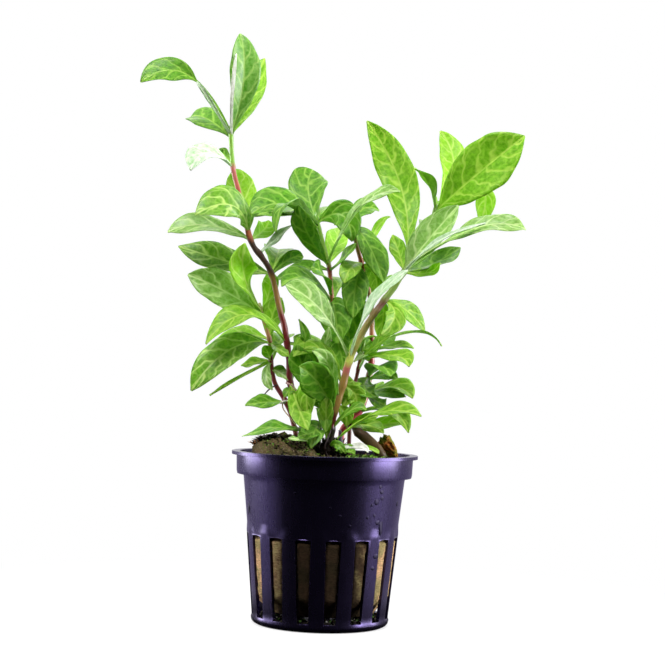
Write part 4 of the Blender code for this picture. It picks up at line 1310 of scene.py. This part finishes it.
def floor_material():
    """To the camera white, with the pot's shadow near it and painted black shade under it; to other rays
    dark in front of the pot, with a violet glow at its sides that paints reflections.
    """
    material, nodes, shader = new_material("floor_paint")
    place = nodes.add("ShaderNodeTexCoord").outputs["Object"]
    far = nodes.result("ShaderNodeVectorMath", {"operation": "LENGTH"}, {0: place}, "Value")
    forward = nodes.math("DIVIDE", nodes.split(place)[1], nodes.math("ADD", far, 0.001))
    beside = nodes.math("MULTIPLY", nodes.remap(forward, -0.55, 0.0), nodes.remap(far, 0.03, 0.08))
    outside_painted_shade = nodes.remap(far, *PAINTED_SHADE_EDGE)
    white_share = nodes.math("MULTIPLY", nodes.remap(far, *SHADE_EDGE, SHADE_WHITE, 1.0), outside_painted_shade)
    rays = nodes.add("ShaderNodeLightPath").outputs
    seen = rays["Is Camera Ray"]
    bounce = nodes.mix(beside, (0.005, 0.005, 0.005, 1), (0.35, 0.35, 0.35, 1))
    # Black under the pot: painted shade where the floor shows through the drain slots
    base_with_painted_shade = nodes.mix(outside_painted_shade, (0.01, 0.01, 0.01, 1), (0.8, 0.8, 0.8, 1))
    nodes.fill(shader, Base_Color=nodes.mix(seen, bounce, base_with_painted_shade), Roughness=0.9, Specular_IOR_Level=0.1)
    # Emission: white to the camera, and to reflections a violet glow beside the pot, a painted reflection
    white = nodes.add("ShaderNodeEmission", Color=nodes.mix(seen, PAINTED_REFLECTION_COLOUR, WHITE),
                      Strength=nodes.mix_float(seen, PAINTED_REFLECTION_STRENGTH, 1.0))
    painted_reflection_share = nodes.math("MULTIPLY", beside, rays["Is Glossy Ray"])
    share = nodes.mix_float(seen, painted_reflection_share, white_share)
    nodes.mix_shaders(share, shader, white)
    return material


def make_floor():
    """A disc that the pot stands on, so wide that its edge isn't seen."""
    bm = bmesh.new()
    bmesh.ops.create_circle(bm, cap_ends=True, segments=96, radius=FLOOR_RADIUS)
    floor = new_object("floor", bm, floor_material())


# ---------------------------------------------------------------- build

make_camera()
make_world()
make_floor()
for lamp in LAMPS:
    make_lamp(lamp)

VEINS = vein_group()
LOOKS = {
    name: (leaf_material("leaf_" + name, look, VEINS),
           leaf_material("leaf_" + name + "_under", look, VEINS, underside=True))
    for name, look in LEAF_LOOKS.items()}

make_pot(pot_material())
make_drops()
make_rockwool(wool_material(
    "rockwool_mat", ((80, 62, 36), (232, 186, 140), (168, 152, 104)), 48.0, (76, 96, 28)))
make_flake(wool_material(
    "flake_mat", ((96, 44, 24), (196, 108, 56), (132, 152, 48)), 80.0, (112, 156, 40)))
make_litter()
make_moss()
make_roots()
for stem_name, stem in STEMS.items():
    stem_coat = 0.0 if stem_name == "old_stem" else LIVING_COAT
    make_stem(stem_name, stem, stem_material(stem_name, STEM_COLOURS[stem_name], stem_coat))
for number, (leaf_name, leaf) in enumerate(LEAVES.items()):
    blade = make_leaf(leaf_name + "_blade", leaf, LOOKS, number)
    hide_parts(leaf_name)
for number, (leaf_name, leaf) in enumerate({**SMALL_LEAVES, **FAR_LEAVES}.items()):
    make_leaf(leaf_name, leaf, LOOKS, number + len(LEAVES))

bpy.context.scene.view_settings.view_transform = "Standard"
bpy.context.view_layer.update()
